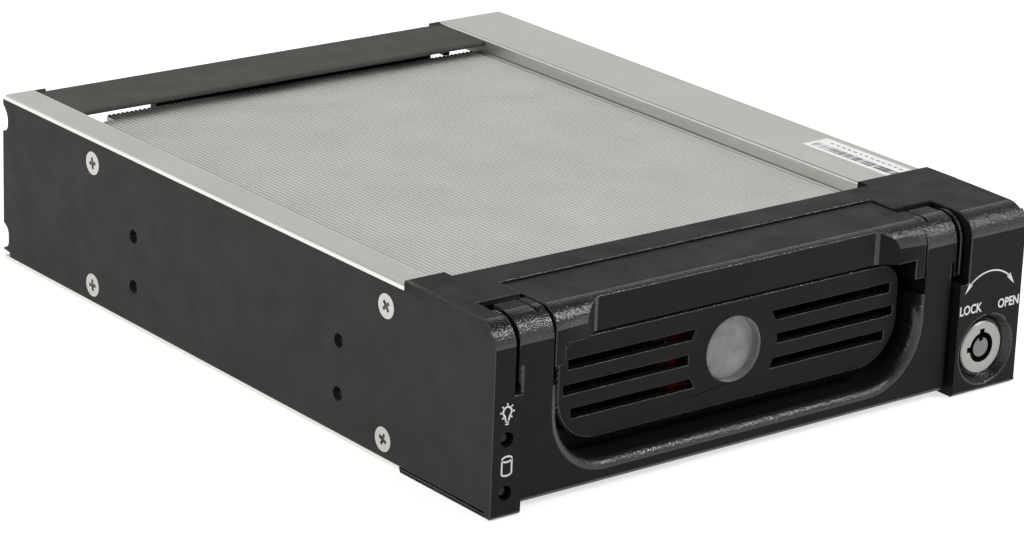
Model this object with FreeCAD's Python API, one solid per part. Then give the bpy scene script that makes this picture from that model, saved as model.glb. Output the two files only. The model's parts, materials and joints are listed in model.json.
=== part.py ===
import FreeCAD, Part
import math
import os

# Hot swap drive cage: a 5.25 inch half-height bay cage with a sliding tray for one 3.5 inch drive.
# Millimetres. x is across (0 on the cage centre), y runs back from the front plane of the bezel
# columns, z is up from the underside. save() moves the origin to the middle of the footprint.

V = FreeCAD.Vector

# ---- driving dimensions -------------------------------------------------------------------
BAY_BODY_W = 146.0        # 5.25 inch device body width
BEZEL_W = 147.2           # width of the bezel's front flange
LENGTH = 189.4            # front plane to rear edge of the side panels
BODY_H = 40.7             # to the top of the aluminium rails
BEZEL_H = 41.9            # bezel top at its rear edge
SHEET = 1.2               # aluminium plates
PANEL_T = 1.5             # black side panels
FLANGE_Y = 1.7            # bezel flange depth, where the side panels start
PANEL_TOP = BODY_H - SHEET
BEZEL_BACK = 31.2         # rear edge of the bezel's band
RAIL_BACK = LENGTH - 0.9  # the rails stop short of the rear rim
BODY_X = BAY_BODY_W / 2
PANEL_IN = BODY_X - PANEL_T

SIDE_HOLE_Y = (53.5, 53.5 + 79.24)    # 5.25 inch standard spacing, 79.24 mm
SIDE_HOLE_Z = (10.0, 21.84)           # and its two rows
BASE_HOLE_X = 139.7 / 2               # underside pattern, 139.7 x 79.24
HOLE_R = 1.6
SCREW_Y = (37.2, 150.0)
SCREW_Z = (5.2, 34.4)

XT = -5.6                 # centre line of the tray, left of the cage centre
BAY_HALF = 59.2           # half width between the guide faces
OPEN_HALF = 60.2          # half width of the bezel opening
PAN_HALF = 58.9           # half width of the tray pan
PAN_T = 1.5
PAN_Z = 1.6
PAN_FLOOR = 2.8
PAN_TOP = 35.35
PAN_Y = (20.6, 165.0)
DRIVE_HALF = 51.2         # half width of the space for the drive
LID_Z = 35.4
LID_T = 2.0
LID_RIB = 0.4
LID_PITCH = 1.2
LID_TOP = LID_Z + LID_T + LID_RIB
RUNNER_Z = (18.0, 20.0)

PIVOT_Y, PIVOT_Z = 7.7, 35.4          # handle hinge line
HUB_R = 5.7
HUB_HEEL = 3.9            # flat top of the hub, behind the hinge line
SWEEP_R = math.hypot(HUB_HEEL, HUB_R)  # what the heel reaches as the handle turns
HUB_IN, HUB_OUT, EAR_OUT = 51.35, 59.8, 62.0
POCKET_OUT = 62.6         # outer wall of the bezel's hub pocket
EAR_Z = 27.6              # foot of the ear
HUB_GROOVE = 53.4
POCKET_Z = 26.0
POCKET_Y = (13.4, 15.0)   # its rear edge on top, and its back wall under the top
ARM_IN = 49.4
ARM_STEP_Z = 25.2
HANDLE_Y = (PIVOT_Y - HUB_R, 10.2)
BAR_Z = (1.2, 6.0)
BLOCK_HALF = 50.95        # tray bezel top block
FRONT_Y = HANDLE_Y[0]     # the block is flush with the handle
FOOT_IN = 48.2
RECESS_HALF = (43.0, 38.8)            # at the front plane and at the recess floor
RECESS_Y = 4.8
TRAY_TOP = 41.2
TRAY_BACK = 20.4
WALL_Y = (11.0, 13.0)     # tray bezel main wall

GRILLE_HALF = 47.4
GRILLE_Z = (9.2, 32.8)
GRILLE_Y = 5.8
LENS_Z, LENS_R = 21.6, 7.2
LENS_Y = (4.8, 5.9)       # crown and rim of the lens's dome
SLOT_H = 2.2
SLOT_ROWS = ((26.9, 44.5), (21.5, 45.6), (16.1, 43.4))    # height, outer end
SLOT_CLEAR = 12.3

LOCK_X, LOCK_Z = 63.8, 9.6
LOCK_R = 5.2
LOCK_FACE = (1.3, 2.3)    # front and back of the lock's face ring
NUT_R = 7.2
CAM_Y = (15.5, 17.5)
CAM_LEN = 13.0
CAM_SLOT_Y = (14.3, 18.7)
CAM_SLOT_Z = (5.2, 24.8)
LED_X = -69.8
LED_Z = (16.9, 5.4)

BOARD_Y = (168.2, 169.8)
POSTS = ((XT - 22.0, 15.5), (XT - 22.0, 30.0), (XT + 47.0, 8.0), (XT + 47.0, 30.0))
WEB_Y = (184.2, 186.8)
SATA_X, SATA_Z = XT - 20.7, 7.9
DATA_X, POWER_X, PORT_Z = XT + 4.0, XT + 30.0, 12.0
BASE_SCREWS = ((-68.4, 70.0), (-68.4, 115.0), (-68.4, 161.5), (64.0, 70.0), (64.0, 115.0),
               (64.0, 161.5), (XT - 25.0, 179.0), (XT + 50.0, 179.0))
TRAY_SCREWS = ((XT - 30.0, 26.0), (XT + 30.0, 26.0), (XT - 30.0, 160.2), (XT + 40.0, 160.2))
DRIVE_BACK = 162.3        # connector face of a seated 3.5 inch drive
DRIVE_HOLES = [(XT + s * 47.625, DRIVE_BACK - y) for s in (-1, 1) for y in (85.73, 41.28)]


# ---- helpers ------------------------------------------------------------------------------
def box(x0, x1, y0, y1, z0, z1):
    return Part.makeBox(x1 - x0, y1 - y0, z1 - z0, V(x0, y0, z0))


def side_box(s, a, b, y0, y1, z0, z1, mid=XT):
    """Box between distances a and b from a centre line, on side s."""
    xs = sorted((mid + s * a, mid + s * b))
    return box(xs[0], xs[1], y0, y1, z0, z1)


def cyl(r, start, end):
    a, b = V(*start), V(*end)
    return Part.makeCylinder(r, (b - a).Length, a, b - a)


def cone(r0, r1, start, end):
    a, b = V(*start), V(*end)
    return Part.makeCone(r0, r1, (b - a).Length, a, b - a)


def join(shapes):
    first = shapes[0]
    return first.fuse(shapes[1:]).removeSplitter() if len(shapes) > 1 else first


def cut(shape, tools):
    return shape.cut(tools) if tools else shape


def outline(corners, to3d):
    """Closed wire through (u, v, radius) corners; each corner with a radius becomes an arc."""
    n = len(corners)
    ends = []
    for i, (u, v, r) in enumerate(corners):
        pu, pv, _ = corners[i - 1]
        nu, nv, _ = corners[(i + 1) % n]
        a = FreeCAD.Vector(pu - u, pv - v, 0)
        b = FreeCAD.Vector(nu - u, nv - v, 0)
        a.normalize()
        b.normalize()
        if r <= 0:
            ends.append(((u, v), None, (u, v)))
            continue
        half = a.getAngle(b) / 2
        d = r / math.tan(half)
        m = a + b
        m.normalize()
        reach = r / math.sin(half) - r
        ends.append(((u + a.x * d, v + a.y * d), (u + m.x * reach, v + m.y * reach),
                     (u + b.x * d, v + b.y * d)))
    edges = []
    for i in range(n):
        t0, mid, t1 = ends[i]
        if mid:
            edges.append(Part.Arc(to3d(*t0), to3d(*mid), to3d(*t1)).toShape())
        nxt = ends[(i + 1) % n][0]
        if (to3d(*t1) - to3d(*nxt)).Length > 1e-6:
            edges.append(Part.LineSegment(to3d(*t1), to3d(*nxt)).toShape())
    return Part.Face(Part.Wire(Part.__sortEdges__(edges)))


def prism_x(corners, x0, x1):
    """Profile in (y, z), swept across from x0 to x1."""
    return outline(corners, lambda u, v: V(x0, u, v)).extrude(V(x1 - x0, 0, 0))


def prism_y(corners, y0, y1):
    """Profile in (x, z), swept back from y0 to y1."""
    return outline(corners, lambda u, v: V(u, y0, v)).extrude(V(0, y1 - y0, 0))


def prism_z(corners, z0, z1):
    """Profile in (x, y), swept up from z0 to z1."""
    return outline(corners, lambda u, v: V(u, v, z0)).extrude(V(0, 0, z1 - z0))


def rounded(x0, x1, z0, z1, lower, upper):
    return [(x0, z0, lower), (x1, z0, lower), (x1, z1, upper), (x0, z1, upper)]


def soften(shape, radius, wanted):
    edges = [e for e in shape.Edges if wanted(e)]
    return shape.makeFillet(radius, edges) if edges else shape


def bevel(shape, size, wanted):
    edges = [e for e in shape.Edges if wanted(e)]
    return shape.makeChamfer(size, edges) if edges else shape


def at_plane(edge, axis, value):
    return all(abs(getattr(p.Point, axis) - value) < 1e-3 for p in edge.Vertexes)


def save(name, shape):
    solids = shape.Solids
    out = Part.makeCompound(solids) if len(solids) > 1 else solids[0]
    out = out.copy()
    out.translate(V(0, -LENGTH / 2, 0))
    out.exportStep("parts/%s.step" % name)


def flat_screw(head_r, shank_r, head_h, length, start, direction):
    """Countersunk screw with its head face at start, pointing along direction."""
    d = V(*direction)
    a = V(*start)
    head = Part.makeCone(head_r, shank_r, head_h, a, d)
    shank = Part.makeCylinder(shank_r, length - head_h, a + d * head_h, d)
    return head.fuse(shank).removeSplitter()


# ---- fixed cage ---------------------------------------------------------------------------
def side_panel(s):
    """Moulded side plate: sits on the bottom plate, under the rail, with two finger scallops
    in its rear edge, the four bay holes and four countersinks."""
    def at(back, z):
        return V(BODY_X, LENGTH - back, z)

    def line(*pts):
        return [Part.LineSegment(pts[i], pts[i + 1]).toShape() for i in range(len(pts) - 1)]
    edges = line(V(BODY_X, FLANGE_Y, PANEL_TOP), V(BODY_X, FLANGE_Y, SHEET),
                 at(2.6, SHEET), at(2.4, 2.2), at(0, 2.6), at(0, 3.0))
    edges.append(Part.Arc(at(0, 3.0), at(1.6, 3.7), at(2.2, 4.9)).toShape())
    edges += line(at(2.2, 4.9), at(2.2, 7.0))
    edges.append(Part.Arc(at(2.2, 7.0), at(1.5, 8.3), at(0, 9.2)).toShape())
    edges += line(at(0, 9.2), at(0, 31.8))
    edges.append(Part.Arc(at(0, 31.8), at(1.6, 32.4), at(2.2, 33.6)).toShape())
    edges.append(Part.Arc(at(2.2, 33.6), at(1.7, 36.2), at(0, 38.2)).toShape())
    edges += line(at(0, 38.2), at(0, PANEL_TOP), V(BODY_X, FLANGE_Y, PANEL_TOP))
    plate = Part.Face(Part.Wire(edges)).extrude(V(-PANEL_T, 0, 0))
    holes = [cyl(HOLE_R, (PANEL_IN - 1, y, z), (BODY_X + 1, y, z))
             for y in SIDE_HOLE_Y for z in SIDE_HOLE_Z]
    for y in SCREW_Y:
        for z in SCREW_Z:
            holes.append(cone(2.75, 1.5, (BODY_X, y, z), (BODY_X - 1.25, y, z)))
            holes.append(cyl(1.5, (BODY_X - 3, y, z), (BODY_X, y, z)))
    plate = cut(plate, holes)
    return plate if s > 0 else plate.mirror(V(0, 0, 0), V(1, 0, 0))


def top_rail(s):
    """Aluminium L rail: flat on top of the guide and panel, flange turned down to the tray."""
    inner = XT + s * BAY_HALF
    outer = s * BODY_X
    x0, x1 = sorted((inner, outer))
    n0, n1 = sorted((inner, s * (PANEL_IN - 0.2)))
    plate = join([box(x0, x1, BEZEL_BACK + 0.1, RAIL_BACK, PANEL_TOP, BODY_H),
                  box(n0, n1, 24.0, BEZEL_BACK + 1, PANEL_TOP, BODY_H)])
    flange = side_box(s, BAY_HALF, BAY_HALF + SHEET, 31.6, 183.8, 36.0, PANEL_TOP)
    rail = join([plate, flange])
    rail = bevel(rail, 0.35, lambda e: at_plane(e, "z", BODY_H) and at_plane(e, "x", outer))
    return soften(rail, 0.6, lambda e: at_plane(e, "z", BODY_H) and at_plane(e, "x", inner))


def bottom_plate():
    plate = box(-BODY_X, BODY_X, BEZEL_BACK + 0.1, LENGTH - 0.4, 0, SHEET)
    plate = bevel(plate, 0.3, lambda e: at_plane(e, "z", 0) and abs(e.CenterOfMass.x) > 72.9)
    holes = [cyl(HOLE_R, (s * BASE_HOLE_X, y, -1), (s * BASE_HOLE_X, y, 3))
             for s in (-1, 1) for y in SIDE_HOLE_Y]
    for x, y in BASE_SCREWS:
        holes.append(cone(2.7, 1.5, (x, y, 0), (x, y, 1.2)))
    return cut(plate, holes)


def guide_rail(s):
    """Moulded guide between side panel and tray: web with the runner groove, two shelves, and a
    square boss behind every hole that takes a screw."""
    y0, y1 = 33.0, 166.0
    panel = PANEL_IN - s * XT            # distance of the panel's inner face from XT
    inner = BAY_HALF + 1.6               # the bosses start inside the web
    parts = [side_box(s, BAY_HALF, BAY_HALF + 2.4, y0, y1, SHEET, PANEL_TOP),
             side_box(s, BAY_HALF, panel, y0, y1, SHEET, SHEET + 1.8),
             side_box(s, BAY_HALF + SHEET, panel, y0, y1, PANEL_TOP - 1.6, PANEL_TOP)]
    xb = s * PANEL_IN
    holes = []
    for y in SIDE_HOLE_Y:
        parts.append(side_box(s, inner, panel, y - 3.4, y + 3.4, SHEET, SIDE_HOLE_Z[1] + 3.4))
        holes += [cyl(HOLE_R, (xb - s * 4.0, y, z), (xb + s, y, z)) for z in SIDE_HOLE_Z]
        holes.append(cyl(HOLE_R, (s * BASE_HOLE_X, y, 0), (s * BASE_HOLE_X, y, 5.6)))
    for y in SCREW_Y:
        parts.append(side_box(s, inner, panel, y - 3.0, y + 3.0, SHEET, SCREW_Z[0] + 3.0))
        parts.append(side_box(s, inner, panel, y - 3.0, y + 3.0, SCREW_Z[1] - 3.0, PANEL_TOP))
        holes += [cyl(1.5, (xb - s * 3.6, y, z), (xb + s, y, z)) for z in SCREW_Z]
    for x, y in BASE_SCREWS:
        if x * s > 0 and y < y1:
            outer = min(x * s + 3.0, PANEL_IN)
            xs = sorted((x - s * 3.0, s * outer))
            parts.append(box(xs[0], xs[1], y - 3.0, y + 3.0, SHEET, 7.6))
            holes.append(cyl(1.5, (x, y, 0), (x, y, 6.0)))
    body = join(parts)
    holes.append(side_box(s, BAY_HALF - 1, BAY_HALF + 1.3, y0 - 1, y1 + 1,
                          RUNNER_Z[0] - 0.3, RUNNER_Z[1] + 0.3))
    holes.append(side_box(s, BAY_HALF - 1, BAY_HALF + SHEET, y0 - 1, y1 + 1, 36.0, 41))
    return cut(body, holes)


def front_bezel():
    """Bezel moulding: LED column, lock column, top band over the rails, open in the middle for
    the tray, with a pocket on each side for the handle's hub."""
    prof = [(0, 0, 0.8), (BEZEL_BACK, 0, 0), (BEZEL_BACK, BEZEL_H, 0.5), (0, 41.25, 5.0)]
    body = prism_x(prof, -BODY_X, BODY_X)
    flange = prism_x(prof, -BEZEL_W / 2, BEZEL_W / 2)
    flange = flange.common(box(-80, 80, -1, FLANGE_Y, -1, 50))
    sides = [side_box(s, PANEL_IN, 80, FLANGE_Y, 40, -5, PANEL_TOP, 0) for s in (-1, 1)]
    body = join([cut(body, sides), flange])
    shell = prism_y(rounded(-BEZEL_W / 2, BEZEL_W / 2, 0, BEZEL_H, 0.8, 1.6), -1, 40)
    body = body.common(shell)
    lips = [side_box(s, PANEL_IN, BODY_X, FLANGE_Y, BEZEL_BACK, 0, SHEET - 0.3, 0)
            for s in (-1, 1)]
    body = join([body] + lips)
    tools = [side_box(1, -OPEN_HALF, OPEN_HALF, POCKET_Y[0], 40, 1.0, 38.5),
             side_box(1, -OPEN_HALF, OPEN_HALF, -5, POCKET_Y[0], -5, 38.5),
             side_box(1, -HUB_IN, HUB_IN, -5, TRAY_BACK + 0.15, 30, 50)]
    for s in (-1, 1):
        tools.append(side_box(s, HUB_IN - 1, POCKET_OUT, -5, POCKET_Y[0], POCKET_Z, 50))
        tools.append(side_box(s, HUB_IN - 1, POCKET_OUT, 13, POCKET_Y[1], POCKET_Z, 40.4))
        # the rails lie under the band's ends
        xs = sorted((XT + s * BAY_HALF, s * (PANEL_IN - 0.1)))
        tools.append(box(xs[0], xs[1], 24.0, 40, PANEL_TOP, BODY_H))
    # the middle of the band stops short of the two ends
    tools.append(box(XT - BAY_HALF + 1.6, XT + BAY_HALF - 2.0, 28.0, 40, 30, 50))
    # column cavities, open to the rear
    back = POCKET_Y[1] + 1.2
    left_in = XT - OPEN_HALF
    tools.append(box(-PANEL_IN - 1, left_in - 1.3, 2.2, 40, 2.0, 24.8))
    tools.append(box(-PANEL_IN - 1, XT - POCKET_OUT - 1.1, 2.2, 40, 24.0, 38.0))
    tools.append(box(-PANEL_IN - 1, left_in - 1.3, back, 40, 24.0, 38.0))
    right_in = XT + OPEN_HALF
    tools.append(box(right_in + 1.5, PANEL_IN + 1, 3.4, 40, 2.0, 24.8))
    tools.append(box(XT + POCKET_OUT + 1.4, PANEL_IN + 1, 3.4, 40, 24.0, 36.0))
    tools.append(box(right_in + 1.5, PANEL_IN + 1, back, 40, 24.0, 36.0))
    tools.append(cyl(LOCK_R, (LOCK_X, -1, LOCK_Z), (LOCK_X, 6, LOCK_Z)))
    tools.append(cone(8.1, 6.6, (LOCK_X, -0.001, LOCK_Z), (LOCK_X, LOCK_FACE[1], LOCK_Z)))
    tools.append(box(right_in - 1, right_in + 2, *CAM_SLOT_Y, *CAM_SLOT_Z))
    for z in LED_Z:
        tools.append(cyl(1.6, (LED_X, -1, z), (LED_X, 4, z)))
    body = cut(body, tools)
    # thin lip behind each hub, cleared by the heel of the turning hub
    clear = cyl(SWEEP_R + 0.25, (-80, PIVOT_Y, PIVOT_Z), (80, PIVOT_Y, PIVOT_Z))
    lips = [side_box(s, HUB_IN + 0.6, POCKET_OUT, PIVOT_Y + HUB_HEEL + 0.9, POCKET_Y[0] + 0.1,
                     39.6, 40.9).cut(clear) for s in (-1, 1)]
    return join([body] + lips)


def rear_frame():
    """Rear moulding: the bridge plate between the rails and the wall below it that holds the
    ports and the board posts; open on both sides of the wall."""
    parts = [side_box(1, -BAY_HALF, BAY_HALF, 169.5, RAIL_BACK, 38.9, 40.0)]
    for s in (-1, 1):
        end = PANEL_IN - s * XT          # the side panel's inner face, from XT
        parts.append(side_box(s, BAY_HALF - 1.8, BAY_HALF, 183.8, RAIL_BACK, 33.0, 39.0))
        parts.append(side_box(s, BAY_HALF - 0.5, end, 183.8, RAIL_BACK, 36.4, PANEL_TOP))
        # rim behind the end of the rail
        parts.append(side_box(s, BAY_HALF - 3.0, end, RAIL_BACK, LENGTH - 0.3, 36.4, 40.5))
    parts.append(box(XT - 28.4, XT + 53.6, WEB_Y[0], WEB_Y[1], SHEET, 39.0))
    parts.append(box(XT - 28.4, XT + 53.6, 175.6, WEB_Y[1], SHEET, SHEET + 2.0))
    parts += [cyl(3.2, (x, BOARD_Y[1], z), (x, WEB_Y[0] + 0.5, z)) for x, z in POSTS]
    body = join(parts)
    tools = [cyl(1.25, (x, BOARD_Y[1] - 1, z), (x, 176.5, z)) for x, z in POSTS]
    tools.append(box(DATA_X - 8.4, DATA_X + 8.4, 180, 190, PORT_Z - 3.6, PORT_Z + 3.6))
    tools.append(box(POWER_X - 11.2, POWER_X + 11.2, 180, 190, PORT_Z - 5.8, PORT_Z + 5.8))
    for k in range(7):
        x = XT - 12.0 + k * 8.0
        tools.append(box(x, x + 4.6, 180, 190, 22.0, 33.0))
    for x, y in BASE_SCREWS[6:]:
        tools.append(cyl(1.5, (x, y, 0), (x, y, 4)))
    body = cut(body, tools)
    return soften(body, 0.5, lambda e: at_plane(e, "y", 169.5) and at_plane(e, "z", 40.0))


def backplane_board():
    board = box(XT - 50, XT + 52, BOARD_Y[0], BOARD_Y[1], SHEET, 34.4)
    return cut(board, [cyl(1.5, (x, 160, z), (x, 180, z)) for x, z in POSTS])


def board_screws():
    screws = []
    for x, z in POSTS:
        head = cyl(2.7, (x, BOARD_Y[0] - 1.3, z), (x, BOARD_Y[0], z))
        shank = cyl(1.25, (x, BOARD_Y[0], z), (x, 175.5, z))
        screws.append(join([head, shank]))
    return Part.makeCompound(screws)


def sata_socket():
    """Drive side connector: housing with two alignment horns and the keyed contact slots."""
    x, z = SATA_X, SATA_Z
    body = box(x - 21.0, x + 21.0, 162.6, BOARD_Y[0], z - 2.7, z + 2.7)
    horns = [prism_z([(x + s * 21.0, 161.2, 0), (x + s * 18.8, 161.2, 0), (x + s * 18.8, 163.1, 0),
                      (x + s * 21.0, 163.1, 0)], z - 1.8, z + 1.8) for s in (-1, 1)]
    body = join([body] + horns)
    slots = [box(x - 17.6, x - 3.4, 161, 166.8, z - 1.2, z + 0.4),
             box(x - 1.2, x + 17.6, 161, 166.8, z - 1.2, z + 0.4),
             box(x - 17.6, x - 16.2, 161, 166.8, z - 1.2, z + 1.7),
             box(x + 16.2, x + 17.6, 161, 166.8, z - 1.2, z + 1.7)]
    return cut(body, slots)


def data_port():
    """Seven-contact cable socket on the back of the board."""
    x, z = DATA_X, PORT_Z
    body = box(x - 8.2, x + 8.2, BOARD_Y[1], 186.2, z - 3.3, z + 3.3)
    cav = box(x - 6.4, x + 6.4, 178.0, 188, z - 1.9, z + 1.6)
    key = box(x - 6.4, x - 5.0, 178.0, 188, z - 1.9, z + 2.5)
    tongue = box(x - 4.4, x + 5.2, 178.0, 185.4, z - 0.9, z + 0.3)
    return join([cut(body, [cav, key]), tongue])


def power_port():
    """Four-pin power inlet: keyed shroud with its pins."""
    x, z = POWER_X, PORT_Z
    body = prism_y([(x - 11.0, z - 5.6, 0), (x + 11.0, z - 5.6, 0), (x + 11.0, z + 2.6, 0),
                    (x + 8.0, z + 5.6, 0), (x - 8.0, z + 5.6, 0), (x - 11.0, z + 2.6, 0)],
                   BOARD_Y[1], 186.6)
    cav = prism_y([(x - 9.8, z - 4.4, 0), (x + 9.8, z - 4.4, 0), (x + 9.8, z + 2.1, 0),
                   (x + 7.5, z + 4.4, 0), (x - 7.5, z + 4.4, 0), (x - 9.8, z + 2.1, 0)],
                  176.0, 190.0)
    pins = [cyl(1.05, (x - 7.62 + 5.08 * k, 176.0, z), (x - 7.62 + 5.08 * k, 184.8, z))
            for k in range(4)]
    return join([cut(body, [cav])] + pins)


def side_screws():
    return Part.makeCompound([flat_screw(2.7, 1.45, 1.25, 4.6, (s * BODY_X, y, z), (-s, 0, 0))
                              for s in (-1, 1) for y in SCREW_Y for z in SCREW_Z])


def base_screws():
    return Part.makeCompound([flat_screw(2.65, 1.45, 1.2, 3.1 if y > 170 else 6.0,
                                         (x, y, 0), (0, 0, 1)) for x, y in BASE_SCREWS])


def led_board():
    return box(-PANEL_IN, XT - OPEN_HALF - 1.3, 7.0, 8.2, 2.0, 24.0)


def status_leds():
    leds = []
    for z in LED_Z:
        body = cyl(1.5, (LED_X, 2.2, z), (LED_X, 7.0, z))
        leds.append(join([body, cone(0.8, 1.5, (LED_X, 1.2, z), (LED_X, 2.2, z))]))
    return Part.makeCompound(leds)


# ---- key lock -----------------------------------------------------------------------------
def lock_barrel():
    def ring(r0, r1, y0, y1):
        return cyl(r1, (LOCK_X, y0, LOCK_Z), (LOCK_X, y1, LOCK_Z)).cut(
            cyl(r0, (LOCK_X, y0 - 1, LOCK_Z), (LOCK_X, y1 + 1, LOCK_Z)))
    front, seat = LOCK_FACE
    face = bevel(cyl(6.1, (LOCK_X, front, LOCK_Z), (LOCK_X, seat, LOCK_Z)), 0.3,
                 lambda e: at_plane(e, "y", front))
    body = join([face, cyl(LOCK_R, (LOCK_X, seat - 0.4, LOCK_Z), (LOCK_X, 15.0, LOCK_Z))])
    bore = cyl(3.45, (LOCK_X, -1, LOCK_Z), (LOCK_X, 16, LOCK_Z))
    notch = box(LOCK_X - 0.7, LOCK_X + 0.7, -1, front + 2.1, LOCK_Z + 3.0, LOCK_Z + 4.3)
    mark = box(LOCK_X - 4.3, LOCK_X - 3.0, -1, front + 1.1, LOCK_Z - 0.6, LOCK_Z + 0.6)
    return cut(body, [bore, notch, mark])


def lock_nut():
    hexa = [(LOCK_X + NUT_R * math.cos(math.radians(60 * k + 30)),
             LOCK_Z + NUT_R * math.sin(math.radians(60 * k + 30)), 0) for k in range(6)]
    nut = prism_y(hexa, 3.4, 6.0)
    return nut.cut(cyl(LOCK_R, (LOCK_X, 2, LOCK_Z), (LOCK_X, 7, LOCK_Z)))


def lock_core():
    """Rotating plug: keyway ring around a centre post, with a square drive for the cam."""
    x, z = LOCK_X, LOCK_Z
    front = LOCK_FACE[0] + 0.2
    plug = cyl(3.38, (x, front + 2.9, z), (x, 15.1, z))
    post = cyl(2.25, (x, front, z), (x, front + 3.1, z)).cut(
        box(x - 0.6, x + 0.6, 0, front + 2.8, z + 1.4, z + 3))
    square = box(x - 2.2, x + 2.2, 15.0, CAM_Y[1], z - 2.2, z + 2.2)
    body = join([plug, post, square])
    return body.cut(cyl(1.25, (x, 12.0, z), (x, 20, z)))


def lock_cam():
    x, z = LOCK_X, LOCK_Z
    arm = prism_y([(x - 4, z - 4, 3.6), (x + 4, z - 4, 3.6), (x + 4, z + CAM_LEN, 1.5),
                   (x - 4, z + CAM_LEN, 1.5)], CAM_Y[0], CAM_Y[1])
    return arm.cut(box(x - 2.2, x + 2.2, 10, 20, z - 2.2, z + 2.2))


def cam_screw():
    x, z = LOCK_X, LOCK_Z
    return join([cyl(1.25, (x, 12.4, z), (x, CAM_Y[1], z)),
                 cyl(3.4, (x, CAM_Y[1], z), (x, CAM_Y[1] + 1.9, z))])


# ---- sliding tray -------------------------------------------------------------------------
def tray_pan():
    """Aluminium channel: floor, two walls, and a runner along each wall."""
    y0, y1 = PAN_Y
    sec = []
    for s in (-1, 1):
        sec.append(side_box(s, PAN_HALF - PAN_T, PAN_HALF, y0, y1, PAN_Z, PAN_TOP))
        sec.append(side_box(s, PAN_HALF - 0.5, 60.0, y0 + 16, y1, RUNNER_Z[0], RUNNER_Z[1]))
    sec.append(side_box(1, -PAN_HALF, PAN_HALF, y0, y1, PAN_Z, PAN_FLOOR))
    pan = join(sec)
    pan = soften(pan, 0.8, lambda e: at_plane(e, "z", PAN_Z) and
                 abs(abs(e.CenterOfMass.x - XT) - PAN_HALF) < 1e-3)
    holes = [cyl(1.8, (x, y, 0), (x, y, 5)) for x, y in DRIVE_HOLES]
    for x, y in TRAY_SCREWS:
        holes.append(cone(2.7, 1.5, (x, y, PAN_Z), (x, y, PAN_FLOOR)))
    return cut(pan, holes)


def tray_rear_wall():
    wall = side_box(1, -(PAN_HALF - PAN_T), PAN_HALF - PAN_T, 163.2, 165.0, PAN_FLOOR, 34.0)
    foot = side_box(1, -(PAN_HALF - PAN_T), PAN_HALF - PAN_T, 156.6, 164, PAN_FLOOR, 4.3)
    body = join([wall, foot])
    tools = [box(SATA_X - 22.5, SATA_X + 22.5, 150, 170, PAN_FLOOR + 0.8, 12.4)]
    tools += [cyl(1.5, (x, y, 0), (x, y, 6)) for x, y in TRAY_SCREWS[2:]]
    for k in range(8):
        x = XT - 50.0 + k * 13.0
        tools.append(box(x, x + 9.0, 160, 170, 18.0, 29.0))
    return cut(body, tools)


def drive_rail(s):
    """Plastic liner between the pan wall and the drive, with a shelf under the drive edge and
    pockets that leave thin ribs."""
    y0, y1 = 30.0, 156.0
    wall = side_box(s, 51.3, PAN_HALF - PAN_T, y0, y1, PAN_FLOOR, 25.0)
    shelf = side_box(s, 43.5, 51.6, y0, y1, PAN_FLOOR, 4.3)
    body = join([wall, shelf])
    tools = []
    n = 9
    pitch = (y1 - y0 - 2.0) / n
    for k in range(n):
        a = y0 + 2.0 + k * pitch
        tools.append(side_box(s, 53.0, 60.0, a, a + pitch - 2.0, 6.0, 26.0))
    tools += [cyl(1.8, (x, y, 0), (x, y, 6)) for x, y in DRIVE_HOLES]
    return cut(body, tools)


def tray_bezel():
    """Front moulding of the tray: wall behind the handle, top block with its front radius and
    the shallow recess across the middle, feet beside the handle arms, pocket for the cam."""
    low = box(XT - HUB_OUT, XT + HUB_OUT, WALL_Y[0], TRAY_BACK, 1.4, 28.2)
    top = prism_x([(FRONT_Y, 33.4, 0), (TRAY_BACK, 33.4, 0), (TRAY_BACK, TRAY_TOP, 0),
                   (FRONT_Y, TRAY_TOP, 4.6)], XT - BLOCK_HALF, XT + BLOCK_HALF)
    mid = box(XT - BLOCK_HALF, XT + BLOCK_HALF, WALL_Y[0], TRAY_BACK, 28.0, 34.0)
    wide = box(XT - 55.5, XT + 55.5, POCKET_Y[1] + 0.2, TRAY_BACK, 28.0, 34.6)
    feet = [side_box(s, FOOT_IN, BLOCK_HALF, FRONT_Y, WALL_Y[0] + 0.5, 29.0, 34.0)
            for s in (-1, 1)]
    tongue = side_box(1, -50.0, 50.0, TRAY_BACK - 1, 29.6, PAN_FLOOR, 4.3)
    body = join([low, top, mid, wide, tongue] + feet)
    wide_x, deep_x = RECESS_HALF
    recess = prism_z([(XT - wide_x, FRONT_Y - 1, 0), (XT + wide_x, FRONT_Y - 1, 0),
                      (XT + wide_x, FRONT_Y, 0), (XT + deep_x, RECESS_Y, 2.0),
                      (XT - deep_x, RECESS_Y, 2.0), (XT - wide_x, FRONT_Y, 0)], 30, 50)
    tools = [recess,
             side_box(1, -56.2, 56.2, WALL_Y[1], 40, 4.3, 26.6),
             side_box(1, -49.4, 49.4, WALL_Y[1], 40, 4.3, 35.0),
             side_box(1, -44.0, 44.0, 8.0, 40, 35.0, 38.8),
             side_box(1, -49.4, 49.4, 17.5, 40, 4.3, 38.8),
             side_box(1, -DRIVE_HALF, DRIVE_HALF, 15.2, 40, 4.3, 31.4),
             prism_y(rounded(XT - 45.2, XT + 45.2, 11.4, 30.6, 9.0, 4.0), 10, 15),
             box(XT + 54.4, XT + 61, *CAM_SLOT_Y, *CAM_SLOT_Z)]
    for s in (-1, 1):
        tools.append(cyl(1.3, (XT + s * 45.5, PIVOT_Y, PIVOT_Z), (XT + s * 52, PIVOT_Y, PIVOT_Z)))
    tools += [cyl(1.5, (x, y, 0), (x, y, 6)) for x, y in TRAY_SCREWS[:2]]
    body = cut(body, tools)
    return soften(body, 0.7, lambda e: at_plane(e, "z", TRAY_TOP) and at_plane(e, "y", RECESS_Y))


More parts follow.
